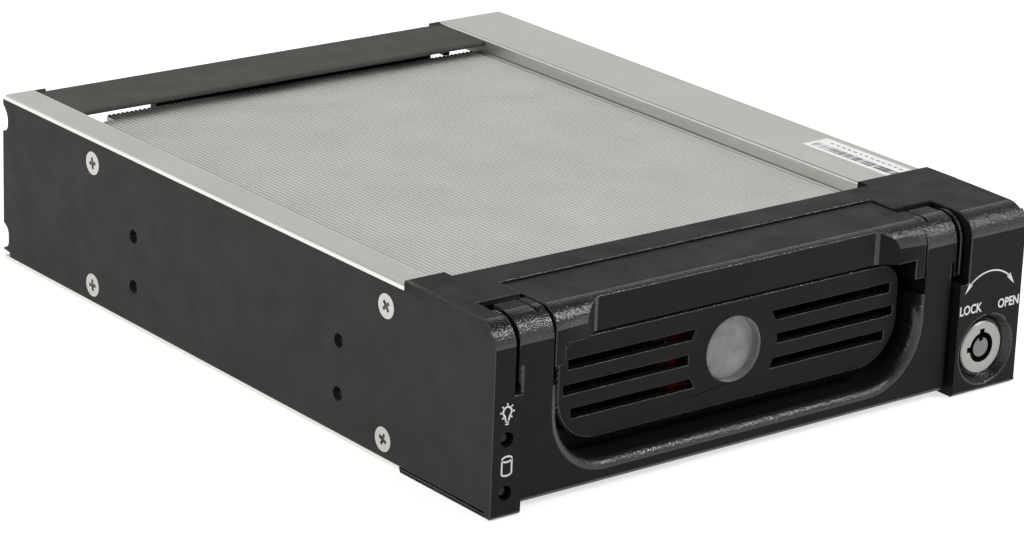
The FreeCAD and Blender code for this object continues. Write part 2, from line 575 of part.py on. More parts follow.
def front_grille():
    """Raised grille plate inside the handle: a shallow cap with three slots on each side of the
    lens, the slots' inner ends on a circle round it."""
    z0, z1 = GRILLE_Z
    cap = prism_y(rounded(XT - GRILLE_HALF, XT + GRILLE_HALF, z0, z1, 11.0, 6.0),
                  GRILLE_Y, WALL_Y[0])
    cap = bevel(cap, 0.6, lambda e: at_plane(e, "y", GRILLE_Y))
    inner = prism_y(rounded(XT - GRILLE_HALF + 1.8, XT + GRILLE_HALF - 1.8, z0 + 1.8, z1 - 1.8,
                            9.2, 4.2), GRILLE_Y + 2.0, 12)
    tools = [inner, cyl(LENS_R + 0.05, (XT, 0, LENS_Z), (XT, 12, LENS_Z))]
    keep = cyl(SLOT_CLEAR, (XT, 0, LENS_Z), (XT, 12, LENS_Z))
    for z, end in SLOT_ROWS:
        for s in (-1, 1):
            slot = side_box(s, 6.0, end, 4, 9, z - SLOT_H / 2, z + SLOT_H / 2)
            tools.append(slot.cut(keep))
    return cut(cap, tools)


def status_lens():
    """Clear domed lens with a flange behind the grille."""
    front, rim = LENS_Y
    rise = rim - front
    dome_r = (LENS_R ** 2 + rise ** 2) / (2 * rise)
    body = cyl(LENS_R, (XT, front - 1, LENS_Z), (XT, 8.0, LENS_Z))
    body = body.common(Part.makeSphere(dome_r, V(XT, front + dome_r, LENS_Z)))
    return join([body, cyl(8.6, (XT, 7.8, LENS_Z), (XT, 9.2, LENS_Z))])


def lens_reflector():
    return cyl(7.6, (XT, 9.2, LENS_Z), (XT, 9.6, LENS_Z)).cut(
        cyl(1.6, (XT, 9, LENS_Z), (XT, 10, LENS_Z)))


def status_board():
    board = box(XT - 22.0, XT + 13.0, 9.6, 11.0, 11.4, 30.6)
    chips = [box(XT - 18.5, XT - 13.5, 8.6, 9.6, 18.2, 22.2),
             box(XT - 20.0, XT - 15.0, 8.8, 9.6, 25.4, 27.8),
             box(XT - 17.5, XT - 12.0, 8.8, 9.6, 13.6, 16.0)]
    return join([board] + chips)


def indicator_led():
    return cyl(1.5, (XT, 9.2, LENS_Z), (XT, 9.6, LENS_Z))


def tray_screws():
    return Part.makeCompound([flat_screw(2.65, 1.45, 1.2, 2.6, (x, y, PAN_Z), (0, 0, 1))
                              for x, y in TRAY_SCREWS])


# ---- pull handle --------------------------------------------------------------------------
def hub_profile(x, foot, back, heel):
    """Side view of a hub at x: flat front from the foot up, round over the top, with or without
    the flat heel, and round again behind and below as far back as its foot reaches."""
    def at(y, z):
        return V(x, PIVOT_Y + y, PIVOT_Z + z)

    def line(a, b):
        return Part.LineSegment(at(*a), at(*b)).toShape()

    def arc(a0, a1):
        pts = [at(HUB_R * math.cos(a), HUB_R * math.sin(a)) for a in (a0, (a0 + a1) / 2, a1)]
        return Part.Arc(*pts).toShape()
    low = -math.acos(back / HUB_R)
    top = math.acos(heel / HUB_R) if heel else math.pi / 2
    edges = [line((-HUB_R, foot), (-HUB_R, 0)), arc(math.pi, math.pi / 2)]
    if heel:
        edges += [line((0, HUB_R), (heel, HUB_R)), line((heel, HUB_R), (heel, HUB_R * math.sin(top)))]
    edges += [arc(top, low), line((back, HUB_R * math.sin(low)), (back, foot)),
              line((back, foot), (-HUB_R, foot))]
    return Part.Face(Part.Wire(edges))


def tray_handle():
    """U handle: wide bar below, two arms, and at the hinge line two hubs with a round front, a
    flat heel behind and an outer ear. Each hub's top has a narrow groove."""
    y0, y1 = HANDLE_Y
    inner_r = 13.0
    arm_top = PIVOT_Z - 2.0
    frame = [(XT - HUB_OUT, BAR_Z[0], 0.8), (XT + HUB_OUT, BAR_Z[0], 0.8),
             (XT + HUB_OUT, arm_top, 0), (XT + HUB_IN, arm_top, 0), (XT + HUB_IN, ARM_STEP_Z, 0),
             (XT + ARM_IN, ARM_STEP_Z, 0), (XT + ARM_IN, BAR_Z[1], inner_r),
             (XT - ARM_IN, BAR_Z[1], inner_r), (XT - ARM_IN, ARM_STEP_Z, 0),
             (XT - HUB_IN, ARM_STEP_Z, 0), (XT - HUB_IN, arm_top, 0), (XT - HUB_OUT, arm_top, 0)]
    u = prism_y(frame, y0, y1)
    u = soften(u, 2.0, lambda e: at_plane(e, "y", y0) and abs(e.CenterOfMass.x - XT) < 49.6
               and ARM_STEP_Z - 0.1 > e.CenterOfMass.z > 3)
    u = soften(u, 1.0, lambda e: at_plane(e, "y", y0) and e.CenterOfMass.z < BAR_Z[0] + 0.01)
    parts = [u]
    tools = []
    for s in (-1, 1):
        hub = hub_profile(XT + s * HUB_IN, 31.0 - PIVOT_Z, 2.0, HUB_HEEL)
        parts.append(hub.extrude(V(s * (HUB_OUT - HUB_IN), 0, 0)))
        ear = hub_profile(XT + s * HUB_OUT, EAR_Z - PIVOT_Z, 1.3, 0)
        parts.append(ear.extrude(V(s * (EAR_OUT - HUB_OUT), 0, 0)))
        tools.append(cyl(1.36, (XT + s * 50, PIVOT_Y, PIVOT_Z), (XT + s * 60.9, PIVOT_Y, PIVOT_Z)))
        tools.append(side_box(s, HUB_GROOVE, HUB_GROOVE + 0.5, 4.6, 20, 40.3, 50))
    return cut(join(parts), tools)


def hinge_pins():
    return Part.makeCompound([cyl(1.3, (XT + s * 45.5, PIVOT_Y, PIVOT_Z),
                                  (XT + s * 60.7, PIVOT_Y, PIVOT_Z)) for s in (-1, 1)])


# ---- sliding lid --------------------------------------------------------------------------
def tray_lid():
    """Extruded ribbed lid: one section with a rib every LID_PITCH, two keels inside the pan
    walls, and a notch in its rear left corner."""
    half = PAN_HALF
    y0, y1 = 20.6, 170.8
    n = int((2 * half - 4.4) / LID_PITCH)
    start = XT - n * LID_PITCH / 2
    z1, z2 = LID_Z + LID_T, LID_TOP
    pts = [(XT - half, LID_Z), (XT - half, z1 + 0.2)]
    for k in range(n):
        x = start + k * LID_PITCH
        pts += [(x, z1 + (0.2 if k == 0 else 0)), (x + 0.25, z2), (x + 0.75, z2), (x + 1.0, z1)]
    pts += [(XT + half, z1 + 0.0), (XT + half, LID_Z), (XT + 57.1, LID_Z), (XT + 57.1, 34.2),
            (XT + 55.9, 34.2), (XT + 55.9, LID_Z), (XT - 55.9, LID_Z), (XT - 55.9, 34.2),
            (XT - 57.1, 34.2), (XT - 57.1, LID_Z)]
    wire = Part.makePolygon([V(x, y0, z) for x, z in pts + pts[:1]])
    lid = Part.Face(wire).extrude(V(0, y1 - y0, 0))
    tools = [box(XT - half + 4.2, XT - half + 8.4, 166.6, 172, 30, 40),
             box(XT - 80, XT + 80, 158.0, 172, 30, LID_Z),
             box(XT - 80, XT + 80, 10, 31.0, 30, LID_Z)]
    return cut(lid, tools)


def build():
    os.makedirs("parts", exist_ok=True)
    nodes = {
        "side_panel_left": side_panel(-1), "side_panel_right": side_panel(1),
        "top_rail_left": top_rail(-1), "top_rail_right": top_rail(1),
        "bottom_plate": bottom_plate(),
        "guide_rail_left": guide_rail(-1), "guide_rail_right": guide_rail(1),
        "front_bezel": front_bezel(), "rear_frame": rear_frame(),
        "backplane_board": backplane_board(), "board_screws": board_screws(),
        "sata_socket": sata_socket(), "data_port": data_port(), "power_port": power_port(),
        "side_screws": side_screws(), "base_screws": base_screws(),
        "led_board": led_board(), "status_leds": status_leds(),
        "lock_barrel": lock_barrel(), "lock_nut": lock_nut(),
        "lock_core": lock_core(), "lock_cam": lock_cam(), "cam_screw": cam_screw(),
        "tray_pan": tray_pan(), "tray_rear_wall": tray_rear_wall(),
        "drive_rail_left": drive_rail(-1), "drive_rail_right": drive_rail(1),
        "tray_bezel": tray_bezel(), "front_grille": front_grille(),
        "status_lens": status_lens(), "lens_reflector": lens_reflector(),
        "status_board": status_board(), "indicator_led": indicator_led(),
        "tray_screws": tray_screws(),
        "tray_handle": tray_handle(), "hinge_pins": hinge_pins(),
        "tray_lid": tray_lid(),
    }
    for name, shape in nodes.items():
        solids = shape.Solids
        box_ = shape.BoundBox
        print("%-18s solids %d valid %s x %.1f %.1f y %.1f %.1f z %.1f %.1f"
              % (name, len(solids), shape.isValid(), box_.XMin, box_.XMax, box_.YMin, box_.YMax,
                 box_.ZMin, box_.ZMax))
        save(name, shape)


build()
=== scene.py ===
# %% [markdown]
# # Hot swap drive cage
# A metal and plastic cage that fills one half-height 5.25 inch bay. A tray slides into it and
# carries a 3.5 inch drive. The tray has a folding pull handle, a slotted grille with a clear status
# lens, and a ribbed aluminium lid. A key lock and two status lamps sit in the columns beside it.
# The frame holds every piece at its real size. This script gives each piece its finish, rounds the
# edges that a mould or a tumbler would round, and adds the small things: recesses in the screws,
# printed marks, contacts and chips.

# %% The frame
import json
import math

import bmesh
import bpy
import numpy as np
from mathutils import Matrix, Vector

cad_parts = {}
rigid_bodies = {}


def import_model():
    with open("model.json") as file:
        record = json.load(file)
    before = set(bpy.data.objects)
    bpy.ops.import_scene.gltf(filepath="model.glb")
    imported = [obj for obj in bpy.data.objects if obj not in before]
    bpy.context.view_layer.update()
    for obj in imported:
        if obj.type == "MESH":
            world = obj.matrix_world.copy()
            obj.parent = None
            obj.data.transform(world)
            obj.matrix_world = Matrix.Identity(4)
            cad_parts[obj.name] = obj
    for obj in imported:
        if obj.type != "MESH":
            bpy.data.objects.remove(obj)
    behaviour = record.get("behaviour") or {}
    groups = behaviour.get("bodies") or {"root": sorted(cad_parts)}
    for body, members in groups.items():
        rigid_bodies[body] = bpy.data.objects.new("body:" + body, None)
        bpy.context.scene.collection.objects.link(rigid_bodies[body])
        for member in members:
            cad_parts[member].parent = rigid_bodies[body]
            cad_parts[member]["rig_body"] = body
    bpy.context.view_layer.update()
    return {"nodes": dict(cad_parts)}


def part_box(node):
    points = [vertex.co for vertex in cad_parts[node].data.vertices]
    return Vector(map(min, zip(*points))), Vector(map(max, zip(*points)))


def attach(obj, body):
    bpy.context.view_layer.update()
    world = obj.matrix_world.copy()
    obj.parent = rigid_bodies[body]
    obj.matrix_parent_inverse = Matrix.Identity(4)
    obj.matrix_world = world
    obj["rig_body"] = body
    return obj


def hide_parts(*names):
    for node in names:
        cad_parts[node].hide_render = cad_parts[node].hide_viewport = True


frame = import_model()
nodes = frame["nodes"]
MM = 0.001
print("pieces in the frame:", len(nodes))


def mm(*sizes):
    """Sizes in millimetres as a tuple in metres."""
    return tuple(size * MM for size in sizes)


# %% [markdown]
# A product is best shown from well back through a long lens, so that parallel edges stay nearly
# parallel. The camera stands about 0.9 m away, to the left of the front and a little above, and is
# rolled by two degrees. A camera looks along its own -Z axis, so its rotation is built from three
# directions: right, up and back.

# %% The camera
AZIMUTH = math.radians(-38.55)
ELEVATION = math.radians(19.08)
ROLL = math.radians(2.17)
EYE = Vector((-0.5044, -0.6396, 0.2939))
FOCAL_MM = 132.6
SENSOR_MM = 36


def camera_rotation(azimuth, elevation, roll):
    """Rotation of a camera whose view comes from this azimuth and elevation."""
    back = Vector((math.sin(azimuth) * math.cos(elevation),
                   -math.cos(azimuth) * math.cos(elevation), math.sin(elevation)))
    right = Vector((0, 0, 1)).cross(back).normalized()
    up = back.cross(right)
    tilted_right = right * math.cos(roll) + up * math.sin(roll)
    tilted_up = up * math.cos(roll) - right * math.sin(roll)
    return Matrix((tilted_right, tilted_up, back)).transposed()


lens_data = bpy.data.cameras.new("camera")
lens_data.lens = FOCAL_MM
lens_data.sensor_width = SENSOR_MM
lens_data.clip_start = 0.01
camera = bpy.data.objects.new("camera", lens_data)
camera.matrix_world = (Matrix.Translation(EYE)
                       @ camera_rotation(AZIMUTH, ELEVATION, ROLL).to_4x4())
scene = bpy.context.scene
scene.collection.objects.link(camera)
scene.camera = camera
scene.view_settings.view_transform = "Standard"
print("camera stands", round(EYE.length, 3), "m from the cage")

# %% [markdown]
# The floor and the world are white for rays that come from the camera, so the background is clean.
# For the soft light that bounces about they are a plain pale grey, so they don't flood the object.
# A reflected ray sees a studio: a white backdrop near the horizon and a dark ceiling above it. A
# Light Path node tells these rays apart.

# %% Floor and world
FLOOR_Z = -0.0002  # just under the cage, so that no two faces share a plane
FLOOR_HALF = 4.0
FLOOR_GREY = 0.62
FLOOR_GLOW = 0.68
SKY_GREY = 0.42
BACKDROP = 1.0  # brightness of the mirrored backdrop, and of the ceiling above it
CEILING = 0.1
BACKDROP_TOP = (0.42, 0.78)  # the mirrored ray's height over which one fades into the other


def add_node(tree, kind, inputs=None, **settings):
    """A new node. Each input gets a value, a socket or a node's first output, or a list of them."""
    node = tree.nodes.new(kind)
    for key, value in settings.items():
        setattr(node, key, value)
    for key, given in (inputs or {}).items():
        for value in given if isinstance(given, list) else [given]:
            if isinstance(value, bpy.types.Node):
                value = value.outputs[0]
            if isinstance(value, bpy.types.NodeSocket):
                tree.links.new(value, node.inputs[key])
            else:
                node.inputs[key].default_value = value
    return node


def either(tree, first, second):
    """1 where one of two ray kinds is 1."""
    return add_node(tree, "ShaderNodeMath", {0: first, 1: second}, operation="MAXIMUM")


def make_floor():
    half = FLOOR_HALF
    mesh = bpy.data.meshes.new("floor")
    mesh.from_pydata([(-half, -half, FLOOR_Z), (half, -half, FLOOR_Z),
                      (half, half, FLOOR_Z), (-half, half, FLOOR_Z)], [], [(0, 1, 2, 3)])
    floor = bpy.data.objects.new("floor", mesh)
    scene.collection.objects.link(floor)
    paint = bpy.data.materials.new("floor_paint")
    paint.use_nodes = True
    tree = paint.node_tree
    tree.nodes.clear()
    rays = add_node(tree, "ShaderNodeLightPath").outputs
    direct = either(tree, either(tree, rays["Is Camera Ray"], rays["Is Glossy Ray"]),
                    rays["Is Transmission Ray"])
    strength = add_node(tree, "ShaderNodeMath", {0: direct, 1: FLOOR_GLOW}, operation="MULTIPLY")
    matte = add_node(tree, "ShaderNodeBsdfDiffuse",
                     {"Color": (FLOOR_GREY, FLOOR_GREY, FLOOR_GREY, 1)})
    glow = add_node(tree, "ShaderNodeEmission", {"Strength": strength})
    both = add_node(tree, "ShaderNodeAddShader", {0: matte, 1: glow})
    add_node(tree, "ShaderNodeOutputMaterial", {"Surface": both})
    mesh.materials.append(paint)


def make_world():
    world = bpy.data.worlds.new("studio")
    scene.world = world
    world.use_nodes = True
    tree = world.node_tree
    tree.nodes.clear()
    rays = add_node(tree, "ShaderNodeLightPath").outputs
    coords = add_node(tree, "ShaderNodeTexCoord")
    split = add_node(tree, "ShaderNodeSeparateXYZ", {0: coords.outputs["Generated"]})
    fade = add_node(tree, "ShaderNodeMapRange", {
        "Value": split.outputs["Z"], "From Min": BACKDROP_TOP[0], "From Max": BACKDROP_TOP[1],
        "To Min": BACKDROP, "To Max": CEILING}, interpolation_type="SMOOTHSTEP")
    soft = add_node(tree, "ShaderNodeBackground", {"Color": (SKY_GREY, SKY_GREY, SKY_GREY, 1)})
    studio = add_node(tree, "ShaderNodeBackground", {"Strength": fade})
    white = add_node(tree, "ShaderNodeBackground", {"Color": (1, 1, 1, 1)})
    reflected = add_node(tree, "ShaderNodeMixShader", {
        "Fac": rays["Is Glossy Ray"], 1: soft, 2: studio})
    clear = either(tree, rays["Is Camera Ray"], rays["Is Transmission Ray"])
    seen = add_node(tree, "ShaderNodeMixShader", {"Fac": clear, 1: reflected, 2: white})
    add_node(tree, "ShaderNodeOutputWorld", {"Surface": seen})


make_floor()
make_world()
print("floor at", FLOOR_Z, "m")

# %% [markdown]
# A large soft light hangs above and another stands on the left, the side that faces the camera.
# A small light stands in front on the right. The camera sees it mirrored only in edges that face
# up and forward, so it draws a bright line along every rounded edge and leaves the flat faces dark.
# The light above is hidden from mirrored rays, so that the tops don't shine.

# %% Lights
TARGET = Vector((0, 0, 0.02))


def soft_light(name, place, width, height, power):
    """A rectangular lamp that points at the middle of the cage."""
    data = bpy.data.lights.new(name, "AREA")
    data.shape = "RECTANGLE"
    data.size = width
    data.size_y = height
    data.energy = power
    lamp = bpy.data.objects.new(name, data)
    place = Vector(place)
    lamp.rotation_euler = (TARGET - place).to_track_quat("-Z", "Y").to_euler()
    lamp.location = place
    scene.collection.objects.link(lamp)
    return lamp


top_light = soft_light("top_light", (0.0, 0.35, 1.1), 1.1, 0.9, 4.5)
top_light.visible_glossy = False
soft_light("left_light", (-1.1, 0.1, 0.55), 0.9, 0.7, 4.0)
soft_light("edge_light", (0.6, -0.7, 0.78), 0.14, 0.4, 5.5)

# %% [markdown]
# Every finish starts from the Principled shader. What is the same all over is set on its sockets.
# What varies, such as the grain of a moulded surface, comes from noise textures that read Object
# coordinates in metres, so a scale of 2500 gives grains about 0.4 mm across.

# %% Helpers for finishes
def finish(name, colour, roughness, metallic=0.0, specular=0.5):
    """A material with one Principled shader. Returns the material, its tree and its shader."""
    mat = bpy.data.materials.new(name)
    mat.use_nodes = True
    shader = mat.node_tree.nodes["Principled BSDF"]
    for key, value in (("Base Color", (*colour, 1)), ("Roughness", roughness),
                       ("Metallic", metallic), ("Specular IOR Level", specular)):
        shader.inputs[key].default_value = value
    return mat, mat.node_tree, shader


def noise(tree, scale, detail=2.0, stretch=(1, 1, 1)):
    """A noise texture on Object coordinates; its factor output."""
    coords = add_node(tree, "ShaderNodeTexCoord")
    mapping = add_node(tree, "ShaderNodeMapping", {
        "Vector": coords.outputs["Object"], "Scale": stretch})
    return add_node(tree, "ShaderNodeTexNoise", {
        "Vector": mapping, "Scale": scale, "Detail": detail}).outputs["Fac"]


def object_x(tree):
    """The Object coordinate across the cage."""
    coords = add_node(tree, "ShaderNodeTexCoord")
    return add_node(tree, "ShaderNodeSeparateXYZ", {0: coords.outputs["Object"]}).outputs["X"]


def spread(tree, value, low, high, start=0.3, end=0.7):
    """Map the values from start to end to the range low..high."""
    return add_node(tree, "ShaderNodeMapRange", {
        "Value": value, "From Min": start, "From Max": end,
        "To Min": low, "To Max": high}).outputs["Result"]


def tint(tree, shader, value, dark, light):
    """Blend the base colour between two tones by a value."""
    mix = add_node(tree, "ShaderNodeMix", {
        "Factor": value, "A": (*dark, 1), "B": (*light, 1)}, data_type="RGBA")
    tree.links.new(mix.outputs["Result"], shader.inputs["Base Color"])


def bump(tree, shader, value, depth_mm):
    """Raise the surface by a value, to a depth in millimetres."""
    relief = add_node(tree, "ShaderNodeBump", {"Distance": depth_mm * MM, "Height": value})
    tree.links.new(relief.outputs["Normal"], shader.inputs["Normal"])


# %% [markdown]
# The black mouldings come from a spark-eroded mould, which leaves a fine, even grain. The grain
# breaks the highlight on each rounded edge into a band of tiny glints. The rounded edges
# themselves are polished a little by handling, so they get their own, smoother finish.

# %% Moulded plastics
WORN = 1.1  # how much paler the handled patches are


def grained_plastic(name, tone, roughness, grain_mm, depth_mm, specular=0.4):
    """Black moulded plastic with a spark-eroded grain."""
    mat, tree, shader = finish(name, tone, roughness, specular=specular)
    cloud = noise(tree, 55, 3)
    worn = tuple(part * WORN for part in tone)
    tint(tree, shader, spread(tree, cloud, 0, 1, 0.2, 0.8), tone, worn)
    rub = noise(tree, 160, 4)
    tree.links.new(spread(tree, rub, roughness - 0.05, roughness + 0.06),
                   shader.inputs["Roughness"])
    bump(tree, shader, noise(tree, 1 / (grain_mm * MM), 1.0), depth_mm)
    return mat


BLACK = (0.0085, 0.0085, 0.008)
EDGE_BLACK = (0.009, 0.009, 0.0085)
bezel_plastic = grained_plastic("bezel_plastic", BLACK, 0.42, 0.5, 0.05, 0.1)
bezel_edge = grained_plastic("bezel_edge", EDGE_BLACK, 0.25, 0.45, 0.15, 0.6)
handle_plastic = grained_plastic("handle_plastic", BLACK, 0.42, 0.5, 0.05, 0.1)
grille_plastic = grained_plastic("grille_plastic", BLACK, 0.45, 0.5, 0.05, 0.1)
side_plastic = grained_plastic("side_plastic", (0.021, 0.021, 0.02), 0.55, 0.3, 0.02, 0.2)
side_edge = grained_plastic("side_edge", (0.034, 0.034, 0.032), 0.42, 0.3, 0.02, 0.5)
guide_plastic = grained_plastic("guide_plastic", (0.016, 0.016, 0.016), 0.5, 0.6, 0.02, 0.3)
rear_plastic = grained_plastic("rear_plastic", (0.052, 0.05, 0.045), 0.6, 0.8, 0.14, 0.3)
print("plastics:", [m.name for m in bpy.data.materials if "plastic" in m.name])

# %% [markdown]
# The rails, the base plate, the pan and the lid are aluminium. Rolling and extrusion leave long,
# very fine lines, so the noise is stretched along the cage. Where a sheet was sheared or a corner
# was cut, the bare metal is brighter than the satin face.

# %% Metals
STAINED = 0.93  # how much darker the stains are


def drawn_metal(name, tone, roughness, line_scale, depth_mm, along=0.02):
    """Metal with fine lines that run front to back."""
    mat, tree, shader = finish(name, tone, roughness, metallic=1.0)
    lines = noise(tree, line_scale, 3, (1, along, 1))
    stain = noise(tree, 30, 4)
    dull = tuple(part * STAINED for part in tone)
    tint(tree, shader, spread(tree, stain, 0, 1), dull, tone)
    tree.links.new(spread(tree, lines, roughness - 0.04, roughness + 0.05),
                   shader.inputs["Roughness"])
    bump(tree, shader, lines, depth_mm)
    return mat


satin_aluminium = drawn_metal("satin_aluminium", (0.81, 0.8, 0.755), 0.42, 3000, 0.004)
cut_aluminium = drawn_metal("cut_aluminium", (0.9, 0.9, 0.89), 0.3, 3000, 0.004)
nickel = drawn_metal("nickel", (0.56, 0.545, 0.515), 0.3, 1800, 0.003, 1.0)
lock_nickel = drawn_metal("lock_nickel", (0.36, 0.36, 0.345), 0.42, 2500, 0.004, 1.0)
post_nickel = drawn_metal("post_nickel", (0.2, 0.2, 0.195), 0.4, 1500, 0.08, 1.0)
gold = drawn_metal("gold", (0.78, 0.57, 0.25), 0.25, 2500, 0.002, 1.0)
print("metals:", [m.name for m in bpy.data.materials if "alum" in m.name or "nickel" in m.name])

# %% [markdown]
# The lid is one long extrusion with a rib every 1.2 mm. The grooves between the ribs are painted
# darker and the rib tops lighter, as painted shade, and that is what makes the ribs read as
# separate lines. The painted shade is a wave along x with the same pitch as the ribs, counted from
# the lid's middle.

# %% The lid's metal
RIB_PITCH = 1.2 * MM
RIB_SHIFT = 0.5 * MM  # the nearest rib's middle, from the lid's


def ribbed_metal(name, groove_shade_tone, rib_tone, middle):
    """Satin metal with painted shade in the grooves between ribs."""
    mat, tree, shader = finish(name, rib_tone, 0.36, metallic=1.0)
    turns = add_node(tree, "ShaderNodeMath", {
        0: object_x(tree), 1: 2 * math.pi / RIB_PITCH,
        2: -2 * math.pi * middle / RIB_PITCH}, operation="MULTIPLY_ADD")
    wave = add_node(tree, "ShaderNodeMath", {0: turns}, operation="COSINE")
    # painted shade: darker in the grooves, lighter on the rib tops
    groove_shade = spread(tree, wave, 0, 1, -0.6, 0.5)
    tint(tree, shader, groove_shade, groove_shade_tone, rib_tone)
    tree.links.new(spread(tree, noise(tree, 60, 3), 0.32, 0.42), shader.inputs["Roughness"])
    bump(tree, shader, noise(tree, 3000, 2, (1, 0.02, 1)), 0.003)
    return mat


lid_low, lid_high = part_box("tray_lid")
TRAY_X = (lid_low[0] + lid_high[0]) / 2
lid_aluminium = ribbed_metal("lid_aluminium", (0.45, 0.447, 0.425), (0.79, 0.785, 0.755),
                             TRAY_X + RIB_SHIFT)
print("middle of the lid:", round(TRAY_X, 4))

# %% [markdown]
# A red status board shows through the grille's left slots. It is bright only at its inner end, and
# the rest lies in deep shadow, so its tone falls off along x. The green boards, the lamps and the
# disc behind the lens vary a little by noise, so that they don't look like flat paint. The inks
# and the paper are plain. The lens is see-through where it is seen straight on.

# %% Boards, resins and ink
RED_FROM, RED_TO = -21.0 * MM, -19.0 * MM
board_green, tree, shader = finish("board_green", (0.02, 0.1, 0.05), 0.35)
tint(tree, shader, spread(tree, noise(tree, 400, 2), 0, 1), (0.015, 0.08, 0.04), (0.03, 0.13, 0.06))
board_red, tree, shader = finish("board_red", (0.16, 0.01, 0.014), 0.4, specular=0.2)
tint(tree, shader, spread(tree, object_x(tree), 0, 1, RED_FROM, RED_TO),
     (0.016, 0.003, 0.004), (0.17, 0.01, 0.018))
connector_black = grained_plastic("connector_black", (0.02, 0.02, 0.02), 0.35, 0.8, 0.01)
connector_white = grained_plastic("connector_white", (0.6, 0.57, 0.5), 0.4, 0.8, 0.01)
# painted shade: black for the inside of the lock's keyway
lock_black = grained_plastic("lock_black", (0.01, 0.01, 0.01), 0.3, 0.8, 0.01)
led_resin, tree, shader = finish("led_resin", (0.05, 0.03, 0.03), 0.15)
shader.inputs["Coat Weight"].default_value = 0.5
lamp_resin, tree, shader = finish("lamp_resin", (0.012, 0.012, 0.012), 0.3, specular=0.3)
tint(tree, shader, noise(tree, 900), (0.008, 0.008, 0.008), (0.02, 0.02, 0.02))
reflector_white, tree, shader = finish("reflector_white", (0.24, 0.24, 0.24), 0.5, specular=0.3)
tint(tree, shader, spread(tree, noise(tree, 260, 3), 0, 1), (0.14, 0.142, 0.142), (0.3, 0.3, 0.29))
white_ink = finish("white_ink", (0.85, 0.85, 0.85), 0.5)[0]
label_paper = finish("label_paper", (0.84, 0.84, 0.83), 0.45)[0]
label_ink = finish("label_ink", (0.03, 0.03, 0.03), 0.5)[0]
clear_lens, tree, shader = finish("clear_lens", (0.8, 0.81, 0.8), 0.08)
# painted sheen: the plug turns more solid and pale where it is seen edge on
edge_on = add_node(tree, "ShaderNodeLayerWeight", {"Blend": 0.35})
tree.links.new(spread(tree, edge_on.outputs["Facing"], 0.1, 0.75, 0.35, 1.0),
               shader.inputs["Alpha"])
print("finishes in all:", len(bpy.data.materials))

# %% [markdown]
# A piece that stands for a node rides on the node's body, and the node is hidden. An added piece
# names its body; the slot that it also names is not used. Every such piece is a plain mesh at the
# origin, with its modifiers worked out, so that nothing is left to change later.

# %% Helpers for pieces
def body_of(node):
    """The body that carries a node."""
    return nodes[node]["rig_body"]


def middle_of(node):
    """The middle of a node's box."""
    low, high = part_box(node)
    return [(a + b) / 2 for a, b in zip(low, high)]


def stand_for(piece, node):
    """Put a piece in a node's place, on the node's body, and hide the node."""
    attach(piece, body_of(node))
    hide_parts(node)


def ride_on(piece, body):
    """Let an added piece ride on a body."""
    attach(piece, body)


def mesh_piece(name, bm, *finishes):
    """An object made from a bmesh, which is used up."""
    mesh = bpy.data.meshes.new(name)
    bm.to_mesh(mesh)
    bm.free()
    for one in finishes:
        mesh.materials.append(one)
    piece = bpy.data.objects.new(name, mesh)
    scene.collection.objects.link(piece)
    return piece


def apply_modifiers(piece):
    """Bake a piece's modifiers into its mesh."""
    bpy.context.view_layer.update()
    depsgraph = bpy.context.evaluated_depsgraph_get()
    mesh = bpy.data.meshes.new_from_object(piece.evaluated_get(depsgraph))
    piece.modifiers.clear()
    piece.data = mesh
    return mesh


def shade(piece, angle):
    """Smooth shading, broken at the edges that turn more than an angle."""
    piece.data.shade_smooth()
    piece.data.set_sharp_from_angle(angle=angle)


# %% [markdown]
# The pull handle is one solid, but its hubs and the ears outside them look like separate forms with
# a dark gap between. A thin curved cutter, which follows the hub's rim, opens that gap.

# %% The gap beside each ear
EAR_GAP = mm(0.8, 1.8)  # where the gap starts and ends, in from the ear's outside
EAR_GAP_FLOOR = 4.3 * MM  # radii of the cutter about the hinge line
EAR_GAP_RIM = 8 * MM
EAR_DROP = 9 * MM  # how far the gap runs down from the hinge line
EAR_ARC = range(180, 59, -10)  # from straight ahead to just past the top, in degrees


def ear_gaps(node):
    """Two thin cutters shaped like the rims of the hubs, one inside each ear of the handle."""
    pivot = middle_of("hinge_pins")[1:]
    arc = [math.radians(a) for a in EAR_ARC]

    def at(radius, angle):
        return pivot[0] + radius * math.cos(angle), pivot[1] + radius * math.sin(angle)

    rim = [at(EAR_GAP_FLOOR, a) for a in arc] + [at(EAR_GAP_RIM, a) for a in reversed(arc)]
    rim += [(pivot[0] - radius, pivot[1] - EAR_DROP) for radius in (EAR_GAP_RIM, EAR_GAP_FLOOR)]
    count = len(rim)
    bm = bmesh.new()
    for side, edge in zip((1, -1), (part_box(node)[0][0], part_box(node)[1][0])):
        near, far = ([bm.verts.new((edge + side * x, y, z)) for y, z in rim] for x in EAR_GAP)
        bm.faces.new(near)
        bm.faces.new(far[::-1])
        for i in range(count):
            j = (i + 1) % count
            bm.faces.new((near[i], far[i], far[j], near[j]))
    bmesh.ops.recalc_face_normals(bm, faces=bm.faces)
    return bm


def carved(bm, cutter):
    """A welded mesh with a cutter's shape taken out of it."""
    whole, tool = mesh_piece("uncut", bm), mesh_piece("cutter", cutter)
    cut = whole.modifiers.new("cut", "BOOLEAN")
    cut.solver = "EXACT"
    cut.object = tool
    left = bmesh.new()
    left.from_mesh(apply_modifiers(whole))
    for piece in (whole, tool):
        bpy.data.objects.remove(piece)
    return left


# %% [markdown]
# A CAD model's edges are perfectly sharp, and a sharp edge never catches the light. So most pieces
# are dressed: the node's triangles are welded, flat faces are joined up, and a Bevel modifier
# rounds the sharp edges that have room beside them. The rounded faces, and the narrow strips of
# the node's own radii, get the polished or bare finish. The grille keeps its triangles, because its
# slotted face can't be joined up into one face without a crack.

